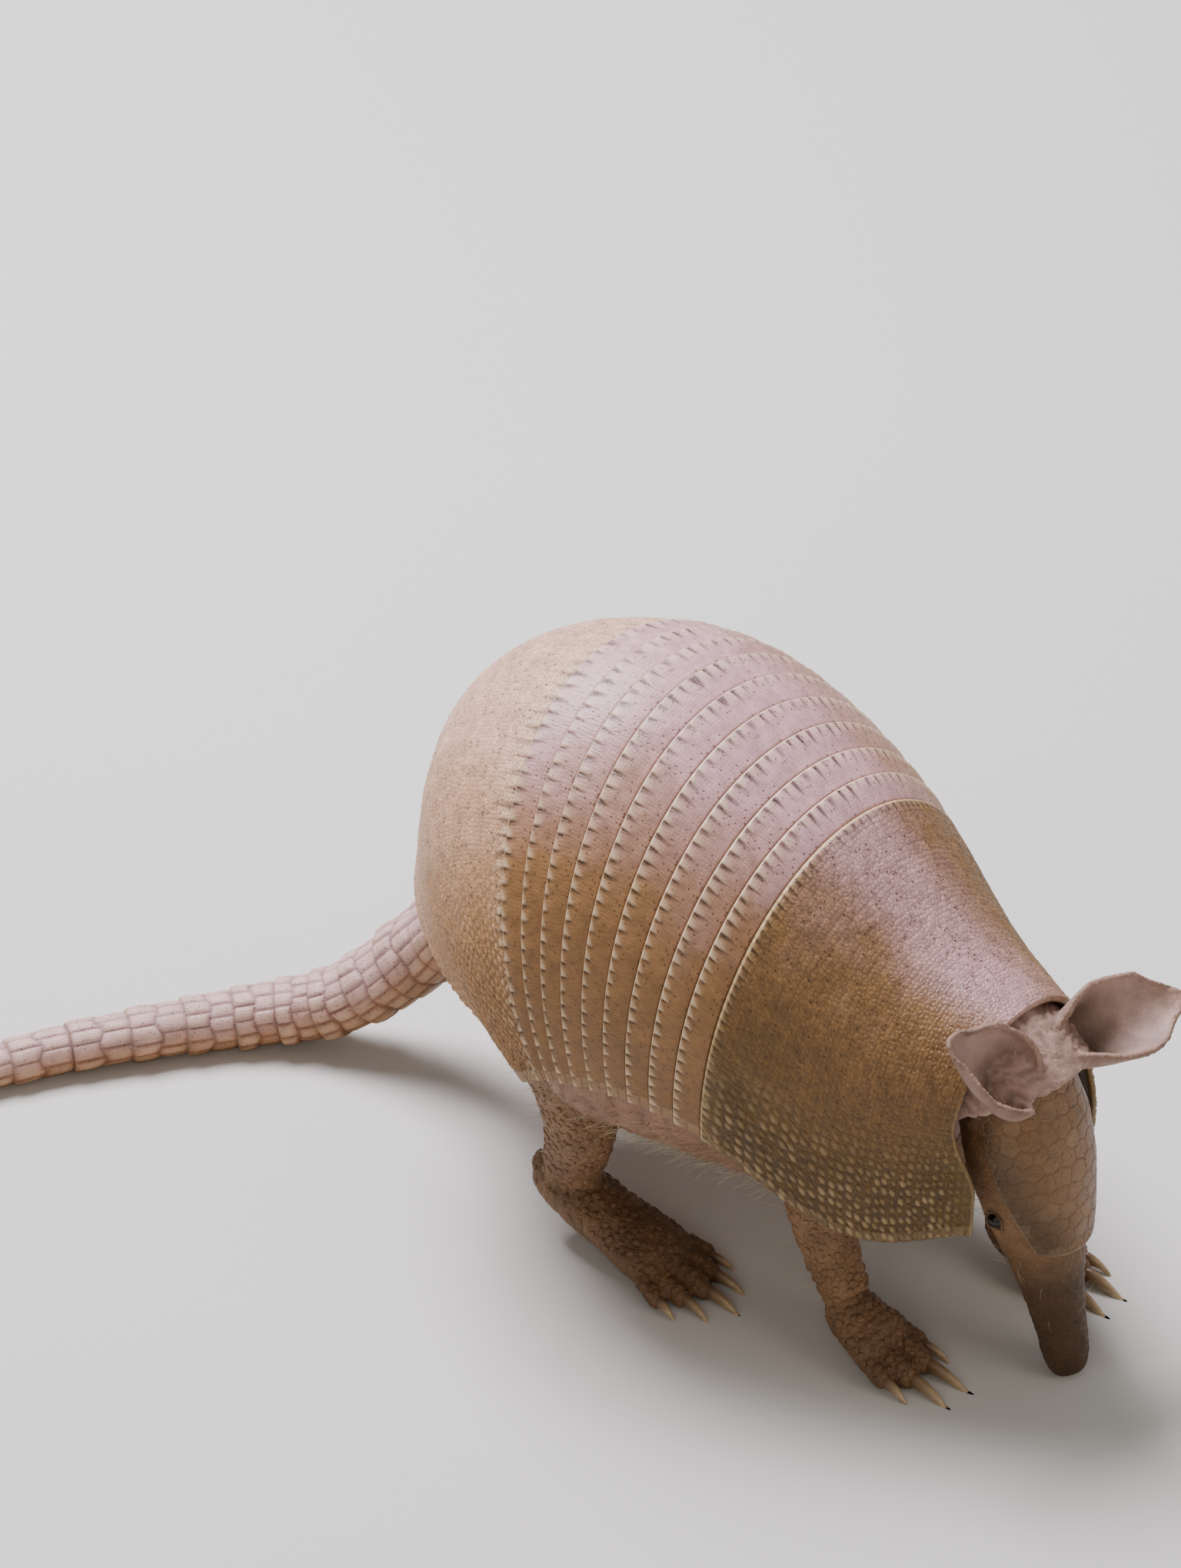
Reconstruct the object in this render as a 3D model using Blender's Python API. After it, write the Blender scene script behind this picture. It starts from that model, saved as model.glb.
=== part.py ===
"""A nine-banded armadillo at life size, foraging with its nose on the ground.

Metres, +Z up. The animal heads along +X, its left side is +Y, and everything it
stands on is at z = 0. The armour is a set of curved plates around one shell
surface; the soft body is lofted inside it and parted with thin cuts.
"""
import math

import bmesh
import bpy
import numpy as np
from mathutils import Matrix, Vector

MM = 0.001
CUT = 0.35 * MM                # the thin cut between two neighbouring solids
SLIVER = 0.03 * MM             # points closer than this are one point

# The shell surface: places along it run from u = 0, the front edge of the
# shoulder shield, to u = 1, the rear edge over the tail.
SPINE = [(105, 112), (68, 126), (24, 155), (-34, 173), (-89, 150), (-107, 92)]
MARGIN = [(102, 57), (69, 52), (21, 77), (-11, 79), (-25, 71), (-33, 66)]
HALF_WIDTH = [27, 50, 67, 71, 56]
FULLNESS = [0.18, 0.02, 0.0, 0.0, 0.0]   # how boxy a hoop's shoulders are
WRAP = math.radians(100)       # how far a plate reaches down each side
SHOULDER_END = 0.36
BANDS_END = 0.66
BAND_COUNT = 9
PLATE = 2.2 * MM               # thickness of the bony plates
LIFT = 0.7 * MM                # how far a plate's free rear edge stands proud
AROUND = 16                    # facets across a hoop

# The soft body under the shell.
BODY_FRONT = 0.13
BODY_REAR = 0.97
BELLY = [(66, 40), (44, 34), (14, 34), (-28, 36), (-84, 45)]
RUMP = Vector((-98, 0, 68)) * MM
TUCK = 7 * MM                  # how far the body is drawn in under the shell's rim

# The head hangs from the neck: its axis runs from the nape to the nose.
NAPE = Vector((91, 0, 96)) * MM
NOSE = Vector((115, 0, 0)) * MM
# distance along the axis, half width, depth to the forehead, depth to the throat
HEAD_FORM = [
    (0, 12.5, 10, 10), (7, 16.5, 13.5, 14), (18, 18.6, 16, 16.5), (32, 18, 16, 16),
    (46, 15.4, 13.8, 13.8), (60, 11.8, 10.8, 10.6), (73, 9, 8.4, 8.2),
    (85, 7.6, 7.2, 6.8), (93, 7.3, 6.8, 6.3), (98.3, 5.6, 5.2, 4.8),
]
HEAD_PLATE = 1.1 * MM
HEAD_PLATE_GAP = 0.8 * MM     # room for the flat facets between plate and head
EYE_RADIUS = 2.9 * MM

# The ears: thin cupped leaves that unroll from a stalk.
EAR_STALK = 0.34               # width of the stalk as a share of the leaf's
EAR_ROLL = 155                 # degrees that the stalk is rolled to each side
EAR_DEPTH_ROOT = 1.7 * MM
EAR_DEPTH_TIP = 1.0 * MM
EAR_TIP_NARROWING = 0.35
EAR_TIP_ROUNDING = 0.16

# The tail: centre line and radii.
TAIL_PATH = [
    (-86, 0, 71), (-113, -4, 42), (-136, -17, 18), (-157, -33, 10.4), (-177, -59, 8.9),
    (-198, -92, 7.3), (-214, -129, 5.9), (-222, -166, 4.7), (-220, -201, 3.6), (-210, -230, 2.4),
]
TAIL_RADIUS = [16, 14, 12, 10.8, 9.2, 7.6, 6.2, 4.9, 3.8, 2.4]
TAIL_RINGS = 13
TAIL_RING_SPAN = 0.66          # share of the tail that carries full rings
TAIL_NODES = [("tail_base", 3), ("tail_fore", 3), ("tail_mid", 4), ("tail_aft", 3)]

# Legs: joint centres of the right side, and radii across and along the body.
HIND_LEG = [
    ((-58, -26, 92), 19, 26), ((-44, -33, 74), 14, 22), ((-31, -39, 56), 11.5, 16),
    ((-27, -41, 40), 9, 11.5), ((-29, -41, 27), 7.5, 9.5),
]
FORE_LEG = [
    ((56, -22, 76), 13, 17), ((52, -26, 60), 11.5, 15), ((50, -29, 44), 9, 11.5),
    ((54, -30, 30), 7.5, 8.5), ((60, -30, 18), 6.8, 7.2),
]
HIND_FOOT = dict(heel=(-33, -41, 17), ball=(6, -40, 5.2), width=12.5, height=7.0)
FORE_FOOT = dict(heel=(59, -30, 13), ball=(75, -30, 5.4), width=11.5, height=6.5)
LEFT_HIND_STEP = -9 * MM       # the left feet stand a little apart from the right
LEFT_FORE_STEP = 9 * MM

# The shell's own frame is moved so that the origin ends under the middle of the
# whole model's box.
BOX_MIDDLE = Vector((-53.22, -79.10, 0)) * MM

COLOURS = {
    "shell": (0.30, 0.17, 0.12), "skin": (0.33, 0.22, 0.18), "ear": (0.27, 0.16, 0.12),
    "eye": (0.01, 0.008, 0.007), "claw": (0.45, 0.36, 0.25), "tail": (0.34, 0.20, 0.15),
}


def spaced(knots, place):
    """A point on a smooth line through evenly spaced knots, place 0 to 1."""
    knots = [np.atleast_1d(np.array(knot, float)) for knot in knots]
    last = len(knots) - 1
    stretch = min(max(place, 0.0), 1.0) * last
    index = min(int(stretch), last - 1)
    f = stretch - index
    one, two = knots[index], knots[index + 1]
    before = knots[index - 1] if index > 0 else 2 * one - two
    after = knots[index + 2] if index + 2 <= last else 2 * two - one
    return 0.5 * (2 * one + (two - before) * f
                  + (2 * before - 5 * one + 4 * two - after) * f ** 2
                  + (3 * one - before - 3 * two + after) * f ** 3)


def shell_raw(u, phi):
    """The shell's outer surface at place u and angle phi from the spine."""
    top, rim = spaced(SPINE, u), spaced(MARGIN, u)
    down = (1 - math.cos(phi)) / (1 - math.cos(WRAP))
    x, z = top + (rim - top) * down
    swell = spaced(FULLNESS, u)[0] * math.sin(2 * phi)
    return Vector((x, spaced(HALF_WIDTH, u)[0] * math.sin(phi + swell), z)) * MM


def shell_point(u, phi, lift=0.0):
    """The shell's surface moved outwards along its normal by lift."""
    step = 0.01
    u = min(max(u, step), 1 - step) if lift else u
    along = shell_raw(u + step, phi) - shell_raw(u - step, phi)
    round_ = shell_raw(u, phi + step) - shell_raw(u, phi - step)
    return shell_raw(u, phi) + round_.cross(along).normalized() * lift


def material(name):
    """The Principled material of a kind of part, made once."""
    found = bpy.data.materials.get(name)
    if found:
        return found
    found = bpy.data.materials.new(name)
    found.use_nodes = True
    shader = found.node_tree.nodes["Principled BSDF"]
    shader.inputs["Base Color"].default_value = (*COLOURS[name], 1)
    shader.inputs["Roughness"].default_value = 0.15 if name == "eye" else 0.65
    shader.inputs["Metallic"].default_value = 0.0
    return found


def finish(name, bm, kind):
    """Turn a closed bmesh into a named part of the animal."""
    bmesh.ops.triangulate(bm, faces=bm.faces)
    bmesh.ops.recalc_face_normals(bm, faces=bm.faces)
    mesh = bpy.data.meshes.new(name)
    bm.to_mesh(mesh)
    bm.free()
    mesh.materials.append(material(kind))
    part = bpy.data.objects.new(name, mesh)
    PARTS.objects.link(part)
    return part


def loft(name, rings, kind):
    """A closed solid through rings of points, each end drawn to its middle."""
    bm = bmesh.new()
    rows = [[bm.verts.new(point) for point in ring] for ring in rings]
    count = len(rows[0])
    for row, following in zip(rows, rows[1:]):
        for i in range(count):
            j = (i + 1) % count
            bm.faces.new((row[i], row[j], following[j], following[i]))
    for row, ring in ((rows[0], rings[0]), (rows[-1], rings[-1])):
        middle = bm.verts.new(sum(ring, Vector()) / count)
        for i in range(count):
            bm.faces.new((row[i], row[(i + 1) % count], middle))
    return finish(name, bm, kind)


def sheet(name, outer, inner, kind):
    """A closed curved plate between two like grids of points."""
    bm = bmesh.new()
    faces = [[[bm.verts.new(p) for p in row] for row in grid] for grid in (outer, inner)]
    rows, cols = len(outer), len(outer[0])
    for grid in faces:
        for i in range(rows - 1):
            for j in range(cols - 1):
                bm.faces.new((grid[i][j], grid[i][j + 1], grid[i + 1][j + 1], grid[i + 1][j]))
    edge = [(i, 0) for i in range(rows)] + [(rows - 1, j) for j in range(1, cols)]
    edge += [(i, cols - 1) for i in range(rows - 2, -1, -1)]
    edge += [(0, j) for j in range(cols - 2, 0, -1)]
    over, under = faces
    for (a, b), (c, d) in zip(edge, edge[1:] + edge[:1]):
        bm.faces.new((over[a][b], over[c][d], under[c][d], under[a][b]))
    return finish(name, bm, kind)


def boolean(part, tool, operation):
    """Apply an exact Boolean of tool to part; the tool goes to the cutters."""
    modifier = part.modifiers.new(operation, 'BOOLEAN')
    modifier.operation = operation
    modifier.solver = 'EXACT'
    modifier.object = tool
    graph = bpy.context.evaluated_depsgraph_get()
    mesh = bpy.data.meshes.new_from_object(part.evaluated_get(graph))
    part.modifiers.remove(modifier)
    part.data = mesh


def keep_largest(part):
    """Drop loose scraps that a cut has left beside the main solid."""
    bm = bmesh.new()
    bm.from_mesh(part.data)
    left = set(bm.faces)
    groups = []
    while left:
        stack, group = [left.pop()], []
        while stack:
            face = stack.pop()
            group.append(face)
            for edge in face.edges:
                for other in edge.link_faces:
                    if other in left:
                        left.remove(other)
                        stack.append(other)
        groups.append(group)
    groups.sort(key=lambda group: sum(face.calc_area() for face in group))
    for group in groups[:-1]:
        bmesh.ops.delete(bm, geom=group, context='FACES')
    bmesh.ops.remove_doubles(bm, verts=bm.verts, dist=SLIVER)
    bmesh.ops.dissolve_degenerate(bm, edges=bm.edges, dist=SLIVER)
    bm.to_mesh(part.data)
    bm.free()


def clear_of(part, *neighbours):
    """Cut the part back so that a thin gap is left to each neighbour."""
    for neighbour in neighbours:
        bm = bmesh.new()
        bm.from_mesh(neighbour.data)
        bm.normal_update()
        moves = [(vert, vert.co + vert.normal * CUT) for vert in bm.verts]
        for vert, place in moves:
            vert.co = place
        tool = finish("clearance", bm, "skin")
        boolean(part, tool, 'DIFFERENCE')
        bpy.data.objects.remove(tool)
    keep_largest(part)


def flatten(part, level=0.0):
    """Slice off whatever hangs below the ground, leaving a flat."""
    bm = bmesh.new()
    bm.from_mesh(part.data)
    whole = bm.verts[:] + bm.edges[:] + bm.faces[:]
    cut = bmesh.ops.bisect_plane(bm, geom=whole, dist=1e-6, plane_co=(0, 0, level),
                                 plane_no=(0, 0, 1), clear_inner=True)
    edges = [item for item in cut["geom_cut"] if isinstance(item, bmesh.types.BMEdge)]
    if edges:
        bmesh.ops.holes_fill(bm, edges=edges)
        bmesh.ops.triangulate(bm, faces=bm.faces)
        bmesh.ops.dissolve_degenerate(bm, edges=bm.edges, dist=SLIVER)
        bmesh.ops.recalc_face_normals(bm, faces=bm.faces)
    bm.to_mesh(part.data)
    bm.free()


def mirrored(point):
    """The same point on the animal's other side."""
    return Vector((point[0], -point[1], point[2]))


# ---- armour -------------------------------------------------------------

def hoop_angles(count=AROUND):
    """Angles across a hoop from the right rim to the left rim."""
    return [WRAP * (2 * i / count - 1) for i in range(count + 1)]


def plate(name, start, end, stations):
    """One piece of armour between two places along the shell."""
    slit = 0.0006
    places = [start + slit + (end - start - 2 * slit) * i / stations for i in range(stations + 1)]
    outer, inner = [], []
    for i, u in enumerate(places):
        last = i / stations
        lift = LIFT * (last ** 3 if stations > 1 else 1.5 * last - 0.5)
        outer.append([shell_point(u, phi, lift) for phi in hoop_angles()])
        inner.append([shell_point(u, phi, -PLATE) for phi in hoop_angles()])
    return sheet(name, outer, inner, "shell")


def armour():
    """The shoulder shield, the nine movable bands and the hip shield."""
    shoulders = plate("scapular_shield", 0.0, SHOULDER_END, 6)
    width = (BANDS_END - SHOULDER_END) / BAND_COUNT
    for index in range(BAND_COUNT):
        start = SHOULDER_END + width * index
        plate(f"band_{index + 1}", start, start + width, 1)
    hips = plate("pelvic_shield", BANDS_END, 1.0, 6)
    return shoulders, hips


# ---- soft body ----------------------------------------------------------

def body_ring(u, belly_place):
    """One hoop of the soft body: along the armour above, the belly below."""
    ring = []
    near_rear = max(0.0, (u - 0.8) / 0.2)
    for phi in hoop_angles():
        near_rim = max(0.0, (abs(phi) / WRAP - 0.72) / 0.28)
        tuck = TUCK * max(near_rim ** 1.5, 0.8 * near_rear ** 1.5)
        ring.append(shell_point(u, phi, -PLATE - 2 * CUT - tuck))
    left = ring[-1]
    low = spaced(BELLY, belly_place)
    steps = 8
    for i in range(1, steps):
        swing = math.pi * i / steps
        x = left.x + (low[0] * MM - left.x) * math.sin(swing) ** 2
        z = left.z + (low[1] * MM - left.z) * math.sin(swing)
        ring.append(Vector((x, left.y * math.cos(swing), z)))
    return ring


def trunk():
    """The body from the shoulders to the rump."""
    width = (BANDS_END - SHOULDER_END) / BAND_COUNT
    places = [BODY_FRONT + (SHOULDER_END - BODY_FRONT) * i / 3 for i in range(3)]
    places += [SHOULDER_END + width * i for i in range(0, BAND_COUNT, 2)]
    places += [BANDS_END + (BODY_REAR - BANDS_END) * i / 5 for i in range(6)]
    rings = []
    for u in places:
        share = (u - BODY_FRONT) / (BODY_REAR - BODY_FRONT)
        rings.append(body_ring(u, share))
    # the rump closes over the root of the tail
    rings.append([RUMP.lerp(point, 0.62) + (RUMP - point) * 0.08 for point in rings[-1]])
    rings.append([RUMP.lerp(point, 0.2) for point in rings[-2]])
    return loft("trunk", rings, "skin")


def oval(centre, side, up, half_width, above, below, count=16):
    """An egg-shaped ring of points, deeper on one side than on the other."""
    ring = []
    for i in range(count):
        turn = 2 * math.pi * i / count
        depth = above if math.cos(turn) > 0 else below
        ring.append(centre + side * half_width * math.sin(turn) + up * depth * math.cos(turn))
    return ring


HEAD_AXIS = (NOSE - NAPE).normalized()
SIDE = Vector((0, 1, 0))
BROW = SIDE.cross(HEAD_AXIS).normalized() * -1


def head_size(place):
    """Half width and the two depths of the head at a distance along its axis."""
    reach = [row[0] for row in HEAD_FORM]
    return [float(np.interp(place, reach, [row[i] for row in HEAD_FORM])) * MM for i in (1, 2, 3)]


def head_ring(place, count=16):
    """One ring of the head."""
    wide, above, below = head_size(place)
    centre = NAPE + HEAD_AXIS * place * MM
    return oval(centre, SIDE, BROW, wide, above, below, count)


def neck():
    """The short neck, from inside the shoulders to the back of the head."""
    start, end = Vector((58, 0, 100)) * MM, NAPE + Vector((3, 0, -5)) * MM
    rings = []
    for i in range(7):
        share = i / 6
        centre = start.lerp(end, share)
        lean = Vector((1, 0, 0)).lerp(HEAD_AXIS, share ** 2 * 0.8).normalized()
        up = SIDE.cross(lean).normalized() * -1
        rings.append(oval(centre, SIDE, up, (27 - 12 * share) * MM, (24 - 9 * share) * MM,
                          (34 - 18 * share) * MM, 18))
    return loft("neck", rings, "skin")


def head():
    """The head, with sockets for the eyes."""
    places = [0, 3, 7, 12, 18, 25, 32, 39, 46, 53, 60, 73, 85, 93, 98.3]
    return loft("head", [head_ring(place) for place in places], "skin")


def head_shield():
    """The plate over the crown and forehead, ending above the snout."""
    first, last, rows, cols = 2.0, 56.0, 7, 12
    outer, inner = [], []
    for i in range(rows + 1):
        place = first + (last - first) * i / rows
        # the plate narrows to a blunt end down the snout
        half = math.radians(82 - 26 * (i / rows) ** 2.2)
        ridge, base = [], []
        for j in range(cols + 1):
            turn = half * (2 * j / cols - 1)
            wide, above, below = head_size(place - 3.5 * (2 * j / cols - 1) ** 2 * i / rows)
            centre = NAPE + HEAD_AXIS * (place - 3.5 * (2 * j / cols - 1) ** 2 * i / rows) * MM
            for line, grow in ((ridge, HEAD_PLATE_GAP + HEAD_PLATE), (base, HEAD_PLATE_GAP)):
                spread = 1.0 + grow / wide
                line.append(centre + SIDE * wide * spread * math.sin(turn)
                            + BROW * above * math.cos(turn) * spread)
        outer.append(ridge)
        inner.append(base)
    return sheet("head_shield", outer, inner, "shell")


def thickened(grid, depths):
    """Two like grids, each row moved half its depth to either side of the grid."""
    rows, cols = len(grid), len(grid[0])
    outer, inner = [], []
    for i in range(rows):
        over, under = [], []
        for j in range(cols):
            along = grid[min(i + 1, rows - 1)][j] - grid[max(i - 1, 0)][j]
            across = grid[i][min(j + 1, cols - 1)] - grid[i][max(j - 1, 0)]
            shift = along.cross(across).normalized() * depths[i] / 2
            over.append(grid[i][j] + shift)
            under.append(grid[i][j] - shift)
        outer.append(over)
        inner.append(under)
    return outer, inner


def ear(name, root, tip, facing, length, width, curl):
    """A leaf-shaped, cupped ear on a narrow rolled stalk.

    facing is the direction that the hollow of the ear opens towards, and curl is
    how far each side of the open part bends round, in degrees.
    """
    axis = (Vector(tip) - Vector(root)).normalized()
    open_ = Vector(facing)
    open_ = (open_ - axis * open_.dot(axis)).normalized()
    across = axis.cross(open_).normalized()
    root = Vector(root) * MM
    grid, depths = [], []
    rows, cols = 8, 6
    for i in range(rows + 1):
        share = i / rows
        swell = math.sin(math.pi * min(share * 0.86 + 0.02, 1)) ** 0.9
        half = width / 2 * MM * (EAR_STALK + (1 - EAR_STALK) * swell)
        half *= 1 - EAR_TIP_NARROWING * max(share - 0.8, 0) / 0.2
        bend = math.radians(EAR_ROLL - (EAR_ROLL - curl) * min(share * 1.7, 1))
        radius = half / max(math.sin(min(bend, math.pi / 2)), 0.2)
        line = []
        for j in range(cols + 1):
            place = 2 * j / cols - 1
            turn = bend * place
            back = EAR_TIP_ROUNDING * length * MM * place ** 2 * max(share - 0.55, 0) / 0.45
            line.append(root + axis * (length * MM * share - back)
                        + across * radius * math.sin(turn)
                        + open_ * radius * (1 - math.cos(turn)))
        grid.append(line)
        depths.append((EAR_DEPTH_ROOT + (EAR_DEPTH_TIP - EAR_DEPTH_ROOT) * share))
    outer, inner = thickened(grid, depths)
    return sheet(name, outer, inner, "ear")


def ball(name, centre, radius, kind, facets=8):
    """A small sphere."""
    bm = bmesh.new()
    bmesh.ops.create_uvsphere(bm, u_segments=facets, v_segments=facets - 2, radius=radius)
    bmesh.ops.translate(bm, verts=bm.verts, vec=centre)
    return finish(name, bm, kind)


def eye_place(side):
    """The middle of an eye, low on the side of the head under the shield's edge."""
    wide, above, below = head_size(42)
    turn = math.radians(98)
    centre = NAPE + HEAD_AXIS * 42 * MM
    return centre + SIDE * side * (wide - 1.5 * MM) * math.sin(turn) + BROW * above * math.cos(turn)


def limb(name, joints, side, step, kind="skin"):
    """A leg as a loft through its joints."""
    rings = []
    count = 6
    for i in range(count + 1):
        share = i / count
        centre = Vector(spaced([joint[0] for joint in joints], share)) * MM
        across = float(spaced([joint[1] for joint in joints], share)[0]) * MM
        along = float(spaced([joint[2] for joint in joints], share)[0]) * MM
        ahead = Vector(spaced([joint[0] for joint in joints], min(share + 0.05, 1)))
        behind = Vector(spaced([joint[0] for joint in joints], max(share - 0.05, 0)))
        down = (ahead - behind).normalized()
        front = Vector((0, 1, 0)).cross(down).normalized()
        sideways = down.cross(front).normalized()
        rings.append(oval(centre, sideways, front, across, along, along, 12))
    if side > 0:
        rings = [[mirrored(point) for point in ring] for ring in rings]
    rings = [[point + Vector((step, 0, 0)) for point in ring] for ring in rings]
    return loft(name, rings, kind)


def toe_rows(kind):
    """For each toe: sideways place, reach beyond the ball, radius and claw length."""
    if kind == "fore":
        return [(-8.2, 7, 3.1, 8), (-2.9, 12, 3.7, 14), (3.4, 12, 3.7, 15), (9.2, 5, 3.0, 8)]
    return [(-11.4, 6, 2.7, 6), (-5.9, 11, 3.1, 9), (0, 14, 3.4, 11), (5.9, 11, 3.1, 9),
            (11.6, 5, 2.7, 6)]


def claw(name, root, direction, radius, length):
    """A curved, tapering claw that bends down to the ground."""
    rings = []
    steps = 3
    bend = math.radians(38)
    heading = math.atan2(direction.z, direction.xy.length)
    flat = Vector((direction.x, direction.y, 0)).normalized()
    sideways = Vector((-flat.y, flat.x, 0))
    place = root.copy()
    for i in range(steps + 1):
        share = i / steps
        angle = heading + math.radians(8) - bend * share
        ahead = flat * math.cos(angle) + Vector((0, 0, 1)) * math.sin(angle)
        up = sideways.cross(ahead) * -1
        girth = radius * (1 - share) ** 0.8 + 0.35 * MM
        rings.append(oval(place, sideways, up, girth * 0.72, girth, girth * 0.8, 6))
        place = place + ahead * length / steps
    return loft(name, rings, "claw")


def foot(kind, side, step, leg):
    """A foot with its toes and claws, flat underneath."""
    form = HIND_FOOT if kind == "hind" else FORE_FOOT
    label = "right" if side < 0 else "left"
    name = f"{kind}_foot_{label}"
    shift = Vector((step, 0, 0))
    fix = (lambda v: v + shift) if side < 0 else (lambda v: mirrored(v) + shift)
    heel, tip = Vector(form["heel"]) * MM, Vector(form["ball"]) * MM
    ahead = (tip - heel).normalized()
    wide, high = form["width"] * MM, form["height"] * MM
    rings = []
    # share along the sole, width factor and height factor
    for share, w, h in ((-0.22, 0.35, 0.6), (-0.12, 0.62, 1.0), (0.15, 0.76, 1.22),
                        (0.5, 0.84, 1.06), (0.85, 1.0, 0.98), (1.0, 0.92, 0.8), (1.08, 0.7, 0.5)):
        centre = heel.lerp(tip, share)
        up = Vector((0, 0, 1))
        rings.append([fix(p) for p in oval(centre, SIDE, up, wide * w, high * h, high * h * 1.1, 10)])
    base = loft(name, rings, "skin")
    claws = []
    for index, (across, reach, radius, length) in enumerate(toe_rows(kind)):
        spread = across * 0.018
        direction = Vector((1, spread, -0.20)).normalized()
        root = tip + Vector((-3 * MM, across * MM, 0.5 * MM))
        end = tip + Vector((reach * MM, across * MM + reach * MM * spread, -2.8 * MM))
        toe = []
        for i, girth in enumerate((0.9, 1.05, 0.72)):
            centre = root.lerp(end, (0, 0.72, 1)[i])
            toe.append([fix(p) for p in oval(centre, SIDE, Vector((0, 0, 1)), radius * girth * MM,
                                             radius * girth * MM * 1.1, radius * girth * MM, 6)])
        tool = loft("toe", toe, "skin")
        boolean(base, tool, 'UNION')
        bpy.data.objects.remove(tool)
        claws.append((index, fix(end + direction * CUT), radius, length,
                      Vector((direction.x, direction.y * -side, direction.z))))
    clear_of(base, leg)
    flatten(base)
    for index, root, radius, length, direction in claws:
        nail = claw(f"{kind}_claw_{label}_{index + 1}", root, direction, radius * 0.62 * MM,
                    length * MM)
        flatten(nail)


def tail():
    """The tail in a few lengths, stepped where one ring ends over the next."""
    def place(share):
        return Vector(spaced(TAIL_PATH, share)) * MM

    def ring(share, grow, count=12):
        ahead = (place(min(share + 0.01, 1)) - place(max(share - 0.01, 0))).normalized()
        sideways = ahead.cross(Vector((0, 0, 1))).normalized()
        up = sideways.cross(ahead)
        radius = float(spaced(TAIL_RADIUS, share)[0]) * MM * grow
        return oval(place(share), sideways, up, radius, radius, radius, count)

    pitch = TAIL_RING_SPAN / TAIL_RINGS
    start = 0
    made = []
    for name, count in TAIL_NODES:
        rings = []
        for index in range(start, start + count):
            low, high = pitch * index, pitch * (index + 1)
            if index == start:
                low += 0.0012
            rings += [ring(low, 0.95), ring((low + high) / 2, 0.99), ring(high - 0.003, 1.04)]
        start += count
        made.append(loft(name, rings, "tail"))
    span = 1 - TAIL_RING_SPAN
    rings = [ring(TAIL_RING_SPAN + 0.0012 + (span - 0.0012) * i / 9, 0.97 if i < 9 else 0.4, 10)
             for i in range(10)]
    made.append(loft("tail_tip", rings, "tail"))
    for piece in made:
        flatten(piece)
    return made


def build():
    """Make every part of the animal.

    The cuts go from the outermost piece inwards, so that each cutter is still whole.
    """
    shoulders, hips = armour()
    body, throat, skull, brow = trunk(), neck(), head(), head_shield()
    ears = [ear("ear_right", (96, -12, 92), (91, -32, 124), (0.9, 0.35, 0.25), 36, 23, 80),
            ear("ear_left", (97, 9.5, 95), (110, 42, 100), (0.55, -0.2, 0.85), 43, 24, 55)]
    for leaf in ears:
        clear_of(leaf, skull, throat, shoulders, brow)
    clear_of(brow, throat, shoulders)
    clear_of(skull, throat)
    clear_of(throat, body)
    for side, label in ((-1, "right"), (1, "left")):
        centre = eye_place(side)
        socket = ball("socket", centre, EYE_RADIUS + CUT, "eye")
        boolean(skull, socket, 'DIFFERENCE')
        bpy.data.objects.remove(socket)
        ball(f"eye_{label}", centre, EYE_RADIUS, "eye")
    flatten(skull)
    for side, label, hind_step, fore_step in ((-1, "right", 0, 0),
                                              (1, "left", LEFT_HIND_STEP, LEFT_FORE_STEP)):
        hind = limb(f"hind_leg_{label}", HIND_LEG, side, hind_step)
        fore = limb(f"fore_leg_{label}", FORE_LEG, side, fore_step)
        foot("hind", side, hind_step, hind)
        foot("fore", side, fore_step, fore)
        clear_of(hind, body, hips)
        clear_of(fore, body, shoulders)
    lengths = tail()
    clear_of(lengths[0], body)
    for part in PARTS.objects:
        part.data.transform(Matrix.Translation(-BOX_MIDDLE))


for old in list(bpy.data.objects):
    bpy.data.objects.remove(old)
PARTS = bpy.data.collections.new("armadillo")
bpy.context.scene.collection.children.link(PARTS)
build()
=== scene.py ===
"""The looks of a life-size nine-banded armadillo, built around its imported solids.

Every piece is made from the same named sizes as the solids: the armour is a relief
of scutes on one shell surface, the tail a run of scaly rings, and one skin joins the
flesh of body, head, ears and legs. Units are metres, +Z up, head towards +X.
"""
import logging
import math
from dataclasses import dataclass, field
from enum import Enum, IntEnum
from typing import Sequence

import bmesh
import bpy
import numpy as np
from mathutils import Matrix, Vector
from mathutils.bvhtree import BVHTree
from mathutils.kdtree import KDTree


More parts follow.
